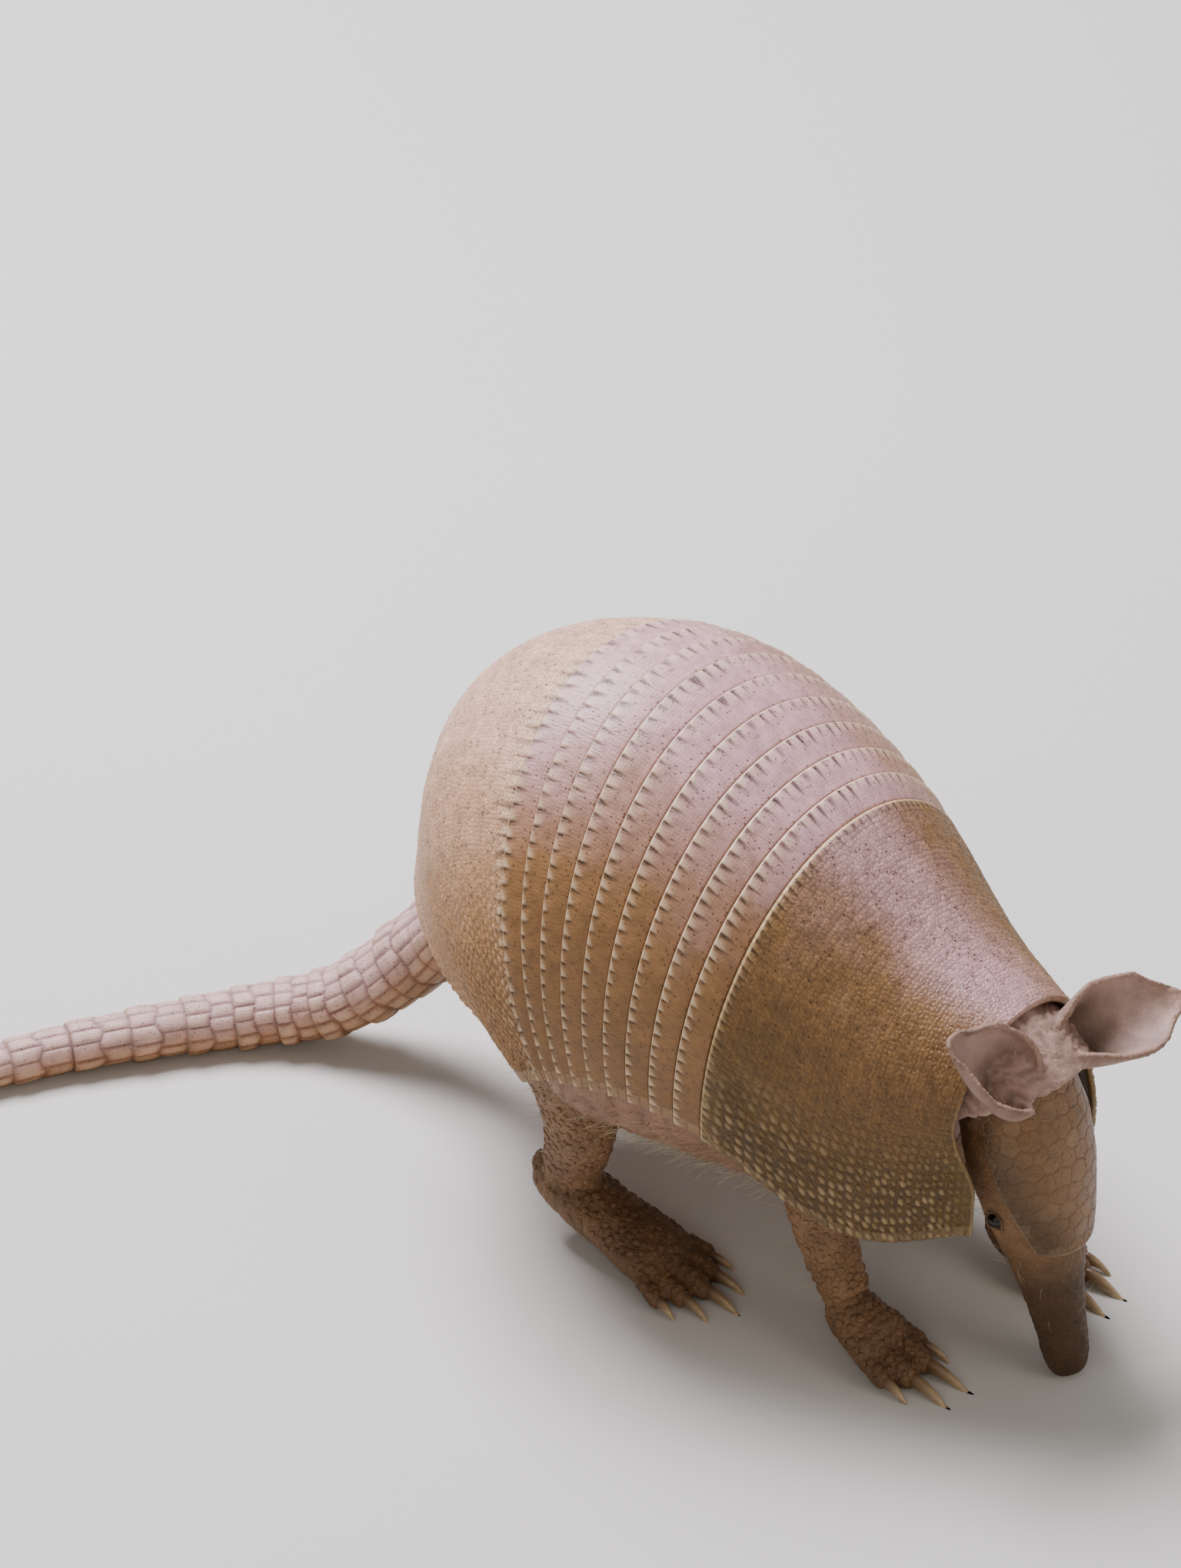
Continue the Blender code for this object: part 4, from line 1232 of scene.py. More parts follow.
def placed(plan: LegPlan, side: int, points: np.ndarray) -> np.ndarray:
    """Right-side points in mm brought to a side of the model, in metres."""
    spot = np.array(points, float)
    if side > 0:
        spot = spot * (1, -1, 1) + (plan.left_step, 0, 0)
    return spot * MM + SHELL_TO_MODEL


def toe_ends(plan: LegPlan) -> list[tuple[np.ndarray, np.ndarray, np.ndarray]]:
    """Root, end and direction of each toe of the right side, in mm."""
    made = []
    for across, reach, *_ in plan.toes:
        spread = across * 0.018
        heading = unit(np.array((1, spread, -0.20)))
        root = np.array(plan.ball) + (-3, across, 0.5)
        end = np.array(plan.ball) + (reach, across + reach * spread, -2.8)
        made.append((root, end, heading))
    return made


@dataclass
class Hide:
    """One skin over trunk, neck, head, ears, legs and feet; sizes in millimetres."""
    voxel: float = 0.8
    inset: float = 0.25
    most_triangles: int = 184000
    sources: list = field(default_factory=list)

    def note(self, region: Region, rings: np.ndarray, dark_skin_and_ear_shade: float = 0.0) -> None:
        """Keep a closed tube of rings as a source of the skin."""
        form = tube_form(rings)
        count, sides = rings.shape[:2]
        along = np.repeat(np.linspace(0.02, 0.98, count), sides)
        around = np.tile(np.linspace(0.02, 0.98, sides), count)
        place = np.stack((np.append(along, (0.01, 0.99)), np.append(around, (0.5, 0.5))), -1)
        self.sources.append((region, form.points, form.faces, place,
                             np.full(len(form.points), dark_skin_and_ear_shade)))

    def trunk(self) -> None:
        """The body from the shoulders to the rump, with a sagging belly."""
        belly = ((66, 40), (44, 34), (14, 34), (-28, 36), (-84, 45))
        share = np.linspace(0, 1, 90)
        u = 0.13 + (0.97 - 0.13) * share
        phi = np.linspace(-SHELL.wrap, SHELL.wrap, 72)[None].repeat(90, 0)
        grid_u = u[:, None].repeat(72, 1)
        near_rim = np.clip((np.abs(phi) / SHELL.wrap - 0.72) / 0.28, 0, None) ** 1.5
        near_rear = np.clip((grid_u - 0.8) / 0.2, 0, None) ** 1.5
        depth = 2.2 + 0.9 + 7.0 * np.maximum(near_rim, 0.8 * near_rear)
        upper = SHELL.raw(grid_u, phi) - SHELL.normal(grid_u, phi) * depth[..., None] * MM
        low = spaced(belly, share) * MM + SHELL_TO_MODEL[[0, 2]]
        swing = np.linspace(0, math.pi, 40)[1:-1][None]
        left = upper[:, -1]
        x = left[:, 0, None] + (low[:, 0] - left[:, 0])[:, None] * np.sin(swing) ** 2
        z = left[:, 2, None] + (low[:, 1] - left[:, 2])[:, None] * np.sin(swing)
        middle = SHELL_TO_MODEL[1]
        y = (left[:, 1, None] - middle) * np.cos(swing) + middle
        rings = np.concatenate((upper, np.stack((x, y, z), -1)), 1)
        rump = np.array((-98, 0, 68)) * MM + SHELL_TO_MODEL
        last = rings[-1]
        closing = [rump + (last - rump) * f - (last - rump) * (0.02 if f > 0.3 else 0)
                   + (rump - last) * 0.06 * math.sin(math.pi * f) for f in (0.85, 0.62, 0.4, 0.2)]
        self.note(Region.TRUNK, np.concatenate((rings, np.stack(closing))))

    def neck(self) -> None:
        """The short neck, from inside the shoulders to the back of the head."""
        start = np.array((58, 0, 100)) * MM + SHELL_TO_MODEL
        end = NAPE + np.array((3, 0, -5)) * MM
        rings = []
        for share in np.linspace(0, 1, 30):
            nod = share ** 2 * 0.8
            lean = unit((1 - nod) * np.array((1.0, 0, 0)) + nod * HEAD_AXIS)
            up = -np.cross(SIDE, lean)
            rings.append(oval_ring(start + (end - start) * share, SIDE, up,
                                   (28 - 6 * share) * MM, (26 - 5.5 * share) * MM,
                                   (34 - 18 * share) * MM, 48))
        self.note(Region.NECK, np.stack(rings))

    def head(self) -> None:
        """The head, tapering to a blunt nose."""
        rings = []
        for place in np.concatenate((np.arange(0, 96, 1.0), (96.5, 97.3, 97.9, 98.2))):
            wide, above, below = head_size(np.array(place))
            close = math.sqrt(max(1 - (max(place - 95.8, 0) / 3.2) ** 2, 0.05))
            rings.append(oval_ring(NAPE + HEAD_AXIS * place * MM, SIDE, BROW, wide * close,
                                   above * close, below * close, 56))
        self.note(Region.HEAD, np.stack(rings))

    def ear(self, plan: EarPlan, region: Region) -> None:
        """One ear as a thin sheet, smooth and thicker along its rim."""
        axis = unit(np.array(plan.tip, float) - plan.root)
        opening = unit(np.array(plan.facing) - axis * np.dot(plan.facing, axis))
        across = np.cross(axis, opening)
        share = np.linspace(0, 1, 46)[:, None]
        place = np.linspace(-1, 1, 34)[None]
        swell = np.sin(math.pi * np.minimum(share * 0.86 + 0.02, 1)) ** 0.9
        half = plan.width / 2 * (0.34 + 0.66 * swell)
        half = half * (1 - 0.35 * np.clip(share - 0.8, 0, None) / 0.2)
        bend = np.radians(155 - (155 - plan.curl) * np.minimum(share * 1.7, 1))
        radius = half / np.maximum(np.sin(np.minimum(bend, math.pi / 2)), 0.2)
        turn = bend * place
        back = 0.16 * plan.length * place ** 2 * np.clip(share - 0.55, 0, None) / 0.45
        points = (np.array(plan.root) + axis * (plan.length * share - back)[..., None]
                  + across * (radius * np.sin(turn))[..., None]
                  + opening * (radius * (1 - np.cos(turn)))[..., None])
        points = points * MM + SHELL_TO_MODEL
        out = unit(np.cross(np.gradient(points, axis=0), np.gradient(points, axis=1)))
        edge = np.minimum(1 - np.abs(place), (1 - share) * 1.6)
        depth = (1.9 - 0.6 * share + 0.35 * np.exp(-(edge / 0.06) ** 2) + 0 * place) * MM / 2
        if np.dot(out[20, 17], opening) > 0:
            out = -out
        outer, inner = points + out * depth[..., None], points - out * depth[..., None]
        form = plate_form(outer, inner, 1, {}, np.zeros((46, 34, 2)))
        spread = np.stack((share * 0.46 + 0.02 + 0 * place, place * 0.45 + 0.5 + 0 * share), -1)
        other = spread + (0.5, 0)
        # painted shade: the ear's back is darkened a little, and the hollow near its root much more,
        # as if in shade
        ear_hollow_shade = step(0.68, 0.15, share) * step(0.95, 0.5, np.abs(place))
        dark_skin_and_ear_shade = np.concatenate((0.25 + 0 * ear_hollow_shade.ravel(), 0.9 * ear_hollow_shade.ravel()))
        spot = np.concatenate((spread.reshape(-1, 2), other.reshape(-1, 2)))
        self.sources.append((region, form.points, form.faces, spot, dark_skin_and_ear_shade))

    def leg(self, plan: LegPlan, side: int, region: Region) -> None:
        """A leg, its foot and its toes."""
        share = np.linspace(0, 1, 50)
        joints, wide, deep = zip(*plan.joints)
        middle = spaced(joints, share)
        across, along = spaced(wide, share)[:, 0], spaced(deep, share)[:, 0]
        down = unit(spaced(joints, np.minimum(share + 0.05, 1))
                    - spaced(joints, np.maximum(share - 0.05, 0)))
        front = unit(np.cross((0.0, 1, 0), down))
        sideways = np.cross(down, front)
        rings = [oval_ring(middle[i], sideways[i], front[i], across[i], along[i], along[i], 40)
                 for i in range(len(share))]
        self.note(region, placed(plan, side, np.stack(rings)))
        heel, ball = np.array(plan.heel, float), np.array(plan.ball, float)
        table = np.array(((-0.24, 0.12, 0.2), (-0.22, 0.35, 0.6), (-0.12, 0.62, 1.0),
                          (0.15, 0.76, 1.22), (0.5, 0.84, 1.06), (0.85, 1.0, 0.98),
                          (1.0, 0.92, 0.8), (1.08, 0.7, 0.5), (1.12, 0.3, 0.2)))
        rings = []
        for place in np.linspace(-0.24, 1.12, 60):
            near = place + np.array((-0.05, 0, 0.05))
            wide, high = (np.interp(near, table[:, 0], table[:, i]).mean() for i in (1, 2))
            rings.append(oval_ring(heel + (ball - heel) * place, SIDE, UP, plan.width * wide,
                                   plan.height * high, plan.height * high * 1.1, 40))
        self.note(Region.FOOT, placed(plan, side, np.stack(rings)))
        for (root, end, _), (_, _, radius, _) in zip(toe_ends(plan), plan.toes):
            rings = []
            for place in np.linspace(0, 1.04, 26):
                girth = np.interp(place, (0, 0.35, 0.5, 0.78, 0.94, 1.04),
                                  (0.95, 0.92, 0.98, 1.06, 0.86, 0.3)) * radius
                rings.append(oval_ring(root + (end - root) * place, SIDE, UP, girth,
                                       girth * 1.12, girth, 24))
            self.note(Region.FOOT, placed(plan, side, np.stack(rings)))

    def joined(self) -> bpy.types.Object:
        """All sources fused into one closed, eased surface."""
        points, faces, start = [], [], 0
        for _, spots, own, _, _ in self.sources:
            points.append(spots)
            faces += [tuple(i + start for i in f) for f in own]
            start += len(spots)
        piece = Form(np.concatenate(points), faces).object("hide")
        fuse = piece.modifiers.new("fuse", 'REMESH')
        fuse.mode = 'VOXEL'
        fuse.voxel_size = self.voxel * MM
        ease = piece.modifiers.new("ease", 'SMOOTH')
        ease.factor = 0.5
        ease.iterations = 7
        self.settle(piece)
        return piece

    def settle(self, piece: bpy.types.Object) -> None:
        """Apply a piece's modifiers."""
        graph = bpy.context.evaluated_depsgraph_get()
        mesh = bpy.data.meshes.new_from_object(piece.evaluated_get(graph))
        piece.modifiers.clear()
        piece.data = mesh

    def under_shell(self, points: np.ndarray,
                    region: np.ndarray) -> tuple[np.ndarray, np.ndarray]:
        """Keep the skin beneath the armour, apart from the ears, which stand free of it.

        Args:
            points: the skin's points. region: Region values.

        Returns:
            The points, none of them outside the plates' lower side, and for each how
            well the armour hides it, 0 or 1.
        """
        rows, cols = 90, 120
        u = np.linspace(0, 1, rows)[:, None].repeat(cols, 1)
        phi = np.linspace(-SHELL.wrap, SHELL.wrap, cols)[None].repeat(rows, 0)
        inner = SHELL.raw(u, phi) - SHELL.normal(u, phi) * 2.4 * MM
        facing = SHELL.normal(u, phi).reshape(-1, 3)
        quads = grid_faces(rows, cols)
        tree = BVHTree.FromPolygons(inner.reshape(-1, 3).tolist(), quads)
        moved = points.copy()
        hidden = np.zeros(len(points))
        free = (region == Region.EAR_RIGHT) | (region == Region.EAR_LEFT)
        free |= points[:, 2] < 0.045
        for i, point in enumerate(points.tolist()):
            if free[i]:
                continue
            spot, _, face, _ = tree.find_nearest(point, 0.03)
            if spot is None:
                hidden[i] = 1.0 if point[2] > 0.085 and point[0] < 0.12 else 0.0
                continue
            row, col = divmod(face, cols - 1)
            if row in (0, rows - 2) or col in (0, cols - 2):
                continue
            out = facing[quads[face][0]]
            height = float(np.dot(np.array(point) - np.array(spot), out))
            if height > -0.0004:
                moved[i] = np.array(spot) - out * 0.0004
            if 3 < row < rows - 5 and 4 < col < cols - 6:
                hidden[i] = 1.0
        return moved, hidden

    def restore_ears(self, points: np.ndarray, region: np.ndarray,
                     place: np.ndarray) -> np.ndarray:
        """Bring the ears' points back to the smooth sheets that they were fused from."""
        made = points.copy()
        tiles = self.tiles()
        along = np.mod(np.mod(place[:, 0] * tiles, 1.0), 0.5) / 0.46
        for source in self.sources[3:5]:
            tree = BVHTree.FromPolygons(source[1].tolist(), source[2])
            for i in np.nonzero((region == source[0]) & (along > 0.12))[0]:
                spot = tree.find_nearest(points[i].tolist())[0]
                made[i] = points[i] + (np.array(spot) - points[i]) * min(1.0, along[i] * 4 - 0.4)
        return made

    def thin(self, piece: bpy.types.Object, loose: np.ndarray, most: int) -> None:
        """Make the mesh coarser, where loose is near 1, down to this many triangles."""
        now = sum(len(face.vertices) - 2 for face in piece.data.polygons)
        if now <= most:
            return
        group = piece.vertex_groups.new(name="loose")
        group.add(np.nonzero(loose > 0.9)[0].tolist(), 1.0, 'REPLACE')
        coarse = piece.modifiers.new("coarse", 'DECIMATE')
        coarse.ratio = most / now
        coarse.vertex_group = "loose"
        self.settle(piece)
        piece.vertex_groups.clear()
        LOG.info("hide thinned from %d to %d faces", now, len(piece.data.polygons))

    def refine(self, piece: bpy.types.Object) -> None:
        """Add points round the eyes, where the lids need them."""
        mesh = bmesh.new()
        mesh.from_mesh(piece.data)
        for reach in (6.0, 4.4):
            near = []
            for side in (-1, 1):
                middle = Vector(eye_middle(side))
                near += [e for e in mesh.edges
                         if all((v.co - middle).length < reach * MM for v in e.verts)]
            bmesh.ops.subdivide_edges(mesh, edges=near, cuts=1, use_grid_fill=True)
        bmesh.ops.triangulate(mesh, faces=mesh.faces)
        mesh.to_mesh(piece.data)
        mesh.free()

    def carve(self, points: np.ndarray, normals: np.ndarray,
              region: np.ndarray) -> tuple[np.ndarray, np.ndarray]:
        """Sculpt lids, nostrils, mouth, folds and warts.

        Args:
            points: the skin's points. normals: its normals. region: Region values.

        Returns:
            The new points, and how deep in a fold each lies, 0 to 1, which darkens the skin there as
            painted shade.
        """
        from_nape = (points - NAPE) / MM
        a, b, c = from_nape @ HEAD_AXIS, from_nape @ BROW, from_nape[:, 1]
        headed = (region == Region.HEAD) | (region == Region.NECK)
        push = np.zeros(len(points))
        fold = np.zeros(len(points))
        wave = self.noise(points, 90.0)
        fine = self.noise(points, 260.0)
        eared = (region == Region.EAR_RIGHT) | (region == Region.EAR_LEFT)
        push += 0.16 * fine * ~eared + 0.22 * wave * ~(headed | eared)
        # folds of loose skin behind the head and between the ears, with painted shade in their
        # hollows
        loose = step(20, 4, a) * step(-26, -8, a) * headed * step(13.0, 7.0, np.abs(b - 2) * 0.6)
        ridge = np.sin(a * 2 * math.pi / 3.6 + wave * 5 + np.abs(c) * 0.25)
        push += 0.32 * ridge * loose
        fold += 0.32 * step(-0.35, -0.95, ridge) * loose
        # small rings of creases above the nose
        crease = np.sin(a * 2 * math.pi / 2.3 + fine * 2.5)
        snout = step(62, 74, a) * step(97, 92, a) * headed
        push += 0.09 * crease * snout
        # mouth: a long thin line under each side of the snout, darkened as painted shade
        level = np.interp(a, (50, 62, 80, 96), (-6.2, -5.4, -4.0, -2.8))
        lips = np.exp(-((b - level) / 0.55) ** 2) * step(58, 64, a) * headed * (np.abs(c) > 1.5)
        push -= 0.75 * lips
        fold += 0.85 * lips
        # nostrils on the blunt end, their pits darkened as painted shade
        for side in (-1, 1):
            pit = np.exp(-(((c - 2.2 * side) / 1.0) ** 2 + ((b - 1.4) / 1.2) ** 2))
            pit *= step(94.5, 96.5, a) * headed
            push -= 1.7 * pit
            fold += 0.95 * pit
        disc = step(95.6, 96.6, a) * headed
        push += 0.35 * np.exp(-((np.hypot(b, c) - 4.4) / 0.8) ** 2) * disc
        # belly and flank skin: cross rows of low warts, with furrows darkened as painted shade
        low = (region == Region.TRUNK) & (points[:, 2] < 0.075)
        away, _, _ = cells(points[:, 0] / MM, points[:, 1] / MM, 8.0, 6.0, 0.25, 3.0)
        push += 0.5 * step(2.4, 0.6, away) * low
        furrow = np.sin(points[:, 0] / MM * 2 * math.pi / 8.0 + wave * 1.2)
        push -= 0.35 * step(0.6, 1.0, furrow) * low
        fold += 0.3 * step(0.75, 1.0, furrow) * low
        # creases across the toes and knuckles, darkened as painted shade
        foot = region == Region.FOOT
        toe = np.sin(points[:, 0] / MM * 2 * math.pi / 2.6 + wave * 2)
        push -= 0.22 * step(0.5, 1.0, toe) * foot * (points[:, 2] > SOLE)
        fold += 0.35 * step(0.7, 1.0, toe) * foot * (points[:, 2] > SOLE)
        made = points + normals * (push - self.inset * ~eared)[:, None] * MM
        for side in (-1, 1):
            made, lidded = self.lids(made, side)
            fold = np.maximum(fold, lidded)
        made[:, 2] = np.maximum(made[:, 2], 0.0)
        return made, np.clip(fold, 0, 1)

    def lids(self, points: np.ndarray, side: int) -> tuple[np.ndarray, np.ndarray]:
        """Draw the skin round an eye into two lids with an almond opening, with painted shade at the
        lids' edge and crease.
        """
        middle = eye_middle(side)
        out = unit(SIDE * side + BROW * 0.12)
        across = np.cross(out, HEAD_AXIS)
        away = (points - middle) / MM
        p, q, h = away @ HEAD_AXIS, away @ across, away @ out
        gap = np.hypot(p / 2.75, q / 1.55)
        reach = np.linalg.norm(away, axis=1)
        share = step(2.3, 1.5, gap) * (h > -0.4) * (reach < 7.5)
        lid = EYE_RADIUS + 0.22 + 0.42 * np.exp(-((gap - 1.28) / 0.28) ** 2)
        wanted = np.where(gap < 0.97, EYE_RADIUS - 0.7, lid)
        moved = middle + unit(away) * wanted[:, None] * MM
        made = points + (moved - points) * share[:, None]
        # painted shade: a dark ring in the gap between lid and eye, and a dark crease line round the
        # lids
        dark = np.exp(-((gap - 1.02) / 0.10) ** 2) * share * 0.9
        dark = dark + 0.45 * np.exp(-((gap - 1.85) / 0.14) ** 2) * (h > 0) * (reach < 7)
        return made, dark

    def noise(self, points: np.ndarray, scale: float) -> np.ndarray:
        """Soft repeatable noise, about -1 to 1, with this many waves to the metre."""
        total = np.zeros(len(points))
        for i in range(5):
            turn = np.array((math.sin(i * 1.7 + 0.3), math.cos(i * 2.3), math.sin(i * 0.9 + 2)))
            other = np.array((math.cos(i * 1.1), math.sin(i * 3.1 + 1), math.cos(i * 2.7 + 0.5)))
            rate = scale * (0.7 + 0.17 * i) * 2 * math.pi / 1.7
            total += np.sin(points @ turn * rate + 2.2 * np.sin(points @ other * rate * 0.63 + i))
        return total / 3.2

    def build(self) -> bpy.types.Object:
        """Make the skin and hand it over; returns it, for the coat to grow on."""
        self.trunk()
        self.neck()
        self.head()
        self.ear(EARS[0], Region.EAR_RIGHT)
        self.ear(EARS[1], Region.EAR_LEFT)
        for plan, right, left in ((HIND, Region.HIND_RIGHT, Region.HIND_LEFT),
                                  (FORE, Region.FORE_RIGHT, Region.FORE_LEFT)):
            self.leg(plan, -1, right)
            self.leg(plan, 1, left)
        piece = self.joined()
        points = read(piece)
        points, hidden = self.under_shell(points, self.nearest(points)[0])
        write(piece, points)
        self.thin(piece, hidden, self.most_triangles)
        region = self.nearest(read(piece))[0]
        fine = (region >= Region.HEAD) & (region <= Region.EAR_LEFT)
        self.thin(piece, 1.0 - fine, self.most_triangles)
        self.refine(piece)
        points = read(piece)
        region, place, dark_skin_and_ear_shade = self.nearest(points)
        points = self.restore_ears(points, region, place)
        normals = read(piece, "normal")
        points, fold = self.carve(points, normals, region)
        points, hidden = self.under_shell(points, region)
        write(piece, points)
        self.colour(piece, points, region, place, dark_skin_and_ear_shade, fold, hidden)
        piece.data.shade_smooth()
        piece.data.update()
        piece.name = "hide_one_skin"
        hand_over(piece, HIDE, Slot.SKIN, "trunk", "neck", "head", "ear_left", "ear_right",
                  *(f"{leg}_{part}_{side}" for leg in ("hind", "fore")
                    for part in ("leg", "foot") for side in ("left", "right")))
        return piece

    def tiles(self) -> int:
        """How many sources' unwraps lie side by side along each edge of the whole one."""
        return math.ceil(math.sqrt(len(self.sources)))

    def nearest(self, points: np.ndarray) -> tuple[np.ndarray, np.ndarray, np.ndarray]:
        """Region, unwrapped place and darkness of the source point next to each point."""
        spots = np.concatenate([s[1] for s in self.sources])
        region = np.concatenate([np.full(len(s[1]), int(s[0])) for s in self.sources])
        tile = np.concatenate([np.full(len(s[1]), i) for i, s in enumerate(self.sources)])
        place = np.concatenate([s[3] for s in self.sources])
        dark_skin_and_ear_shade = np.concatenate([s[4] for s in self.sources])
        side = self.tiles()
        corner = np.stack((tile % side, tile // side), -1)
        place = (place + corner) / side
        tree = KDTree(len(spots))
        for i, spot in enumerate(spots.tolist()):
            tree.insert(spot, i)
        tree.balance()
        found = np.array([tree.find(point)[1] for point in points.tolist()])
        return region[found], place[found], dark_skin_and_ear_shade[found]

    def colour(self, piece: bpy.types.Object, points: np.ndarray, region: np.ndarray,
               place: np.ndarray, dark_skin_and_ear_shade: np.ndarray, fold: np.ndarray,
               hidden: np.ndarray) -> None:
        """Store what the finish and the coat read at each point."""
        legs = (region >= Region.HIND_RIGHT) & (region <= Region.FORE_LEFT)
        feet = region == Region.FOOT
        ears = (region == Region.EAR_RIGHT) | (region == Region.EAR_LEFT)
        head = region == Region.HEAD
        trunk = region == Region.TRUNK
        from_nape = (points - NAPE) / MM
        a, b = from_nape @ HEAD_AXIS, from_nape @ BROW
        wave = self.noise(points, 60.0)
        normals = read(piece, "normal")
        out = np.sign(points[:, 1] - SHELL_TO_MODEL[1])
        outer = step(-0.5, 0.35, normals[:, 1] * out) + step(0.2, 0.7, normals[:, 0])
        scaly = np.clip(outer, 0, 1) * legs * step(0.088, 0.070, points[:, 2])
        scaly = np.maximum(scaly, feet * step(-0.1, 0.45, normals[:, 2])
                           * (points[:, 2] > SOLE))
        tan = np.clip(0.75 * (legs | feet) + 0.15 * wave + 0.8 * head * step(2, 12, a), 0, 1)
        # darker skin towards the snout, on the feet and on top of the head, with the ears' painted
        # shade carried in
        skin_dark_and_ear_shade = np.clip(dark_skin_and_ear_shade + 0.85 * head * step(44, 74, a) + 0.25 * feet
                        + 0.2 * head * step(-4, 4, b), 0, 1)
        hairy = np.clip(1.0 * trunk * (points[:, 2] < 0.066) + 0.35 * legs
                        + 0.22 * head * step(30, 50, a) * (a < 92), 0, 1)
        hairy = hairy * (hidden < 0.5)
        rim_ear = ears * step(0.78, 1.0, np.maximum(np.abs(np.mod(place[:, 1] * self.tiles(), 1)
                                                           - 0.5) / 0.45,
                                                    np.mod(np.mod(place[:, 0] * self.tiles(), 1),
                                                           0.5) / 0.48))
        lie = np.tile((-0.85, 0.0, -0.45), (len(points), 1))
        lie[head] = -HEAD_AXIS * 0.8
        leaf = np.where(ears, 1 - 0.5 * rim_ear,
                        0.8 * (region == Region.NECK) + 0.8 * head * step(14, 4, a))
        floats = {"tan": tan, "dark_skin_and_ear_shade": skin_dark_and_ear_shade, "leaf": leaf, "fold": fold,
                  "scaly": scaly * (hidden < 0.5), "hairy": hairy}
        vectors = {"lie": lie, "unwrap": np.c_[place, np.zeros(len(place))]}
        for kind, field_name, notes in (('FLOAT', "value", floats),
                                        ('FLOAT_VECTOR', "vector", vectors)):
            for name, values in notes.items():
                piece.data.attributes.new(name, kind, 'POINT').data.foreach_set(
                    field_name, np.asarray(values, np.float32).ravel())


@dataclass
class Claw:
    """One curved, tapering claw; sizes in millimetres."""
    plan: LegPlan
    side: int
    index: int

    def build(self) -> None:
        """Make the claw, running a little back into its toe, and hand it over."""
        _, end, heading = toe_ends(self.plan)[self.index]
        _, _, toe_radius, length = self.plan.toes[self.index]
        radius = toe_radius * 0.62
        flat = unit(heading * (1, 1, 0))
        sideways = np.array((-flat[1], flat[0], 0.0))
        lift = math.atan2(heading[2], math.hypot(heading[0], heading[1]))
        steps, sides, hidden = 30, 20, 4       # hidden steps lie back in the toe
        rings, along = [], []
        place = end + heading * 0.35 - heading * 1.8
        for i in range(steps + 1):
            share = max(0.0, (i - hidden) / (steps - hidden))
            angle = lift + math.radians(8) - math.radians(38) * share
            ahead = flat * math.cos(angle) + np.array((0, 0, math.sin(angle)))
            up = -np.cross(sideways, ahead)
            girth = radius * (1 - share) ** 0.8 + 0.30
            if i == steps:
                girth = 0.12
            rings.append(oval_ring(place, sideways, up, girth * 0.72, girth, girth * 0.72,
                                   sides))
            along.append(share)
            place = place + ahead * (length / (steps - hidden) if i >= hidden else 1.8 / hidden)
        value = np.append(np.repeat(along, sides), (0.0, 1.0))
        form = tube_form(placed(self.plan, self.side, np.stack(rings)),
                         {"along": np.clip(value * 1.6, 0, 1)})
        form.points[:, 2] = np.maximum(form.points[:, 2], 0.0)
        label = "right" if self.side < 0 else "left"
        node = f"{self.plan.name}_claw_{label}_{self.index + 1}"
        hand_over(form.object(f"horn_{node}"), CLAW, Slot.CLAW, node)


# ---- coat ----------------------------------------------------------------

class CoatShape(Enum):
    """What a coat is made of."""
    BRISTLE = "bristle"
    SCALE = "scale"


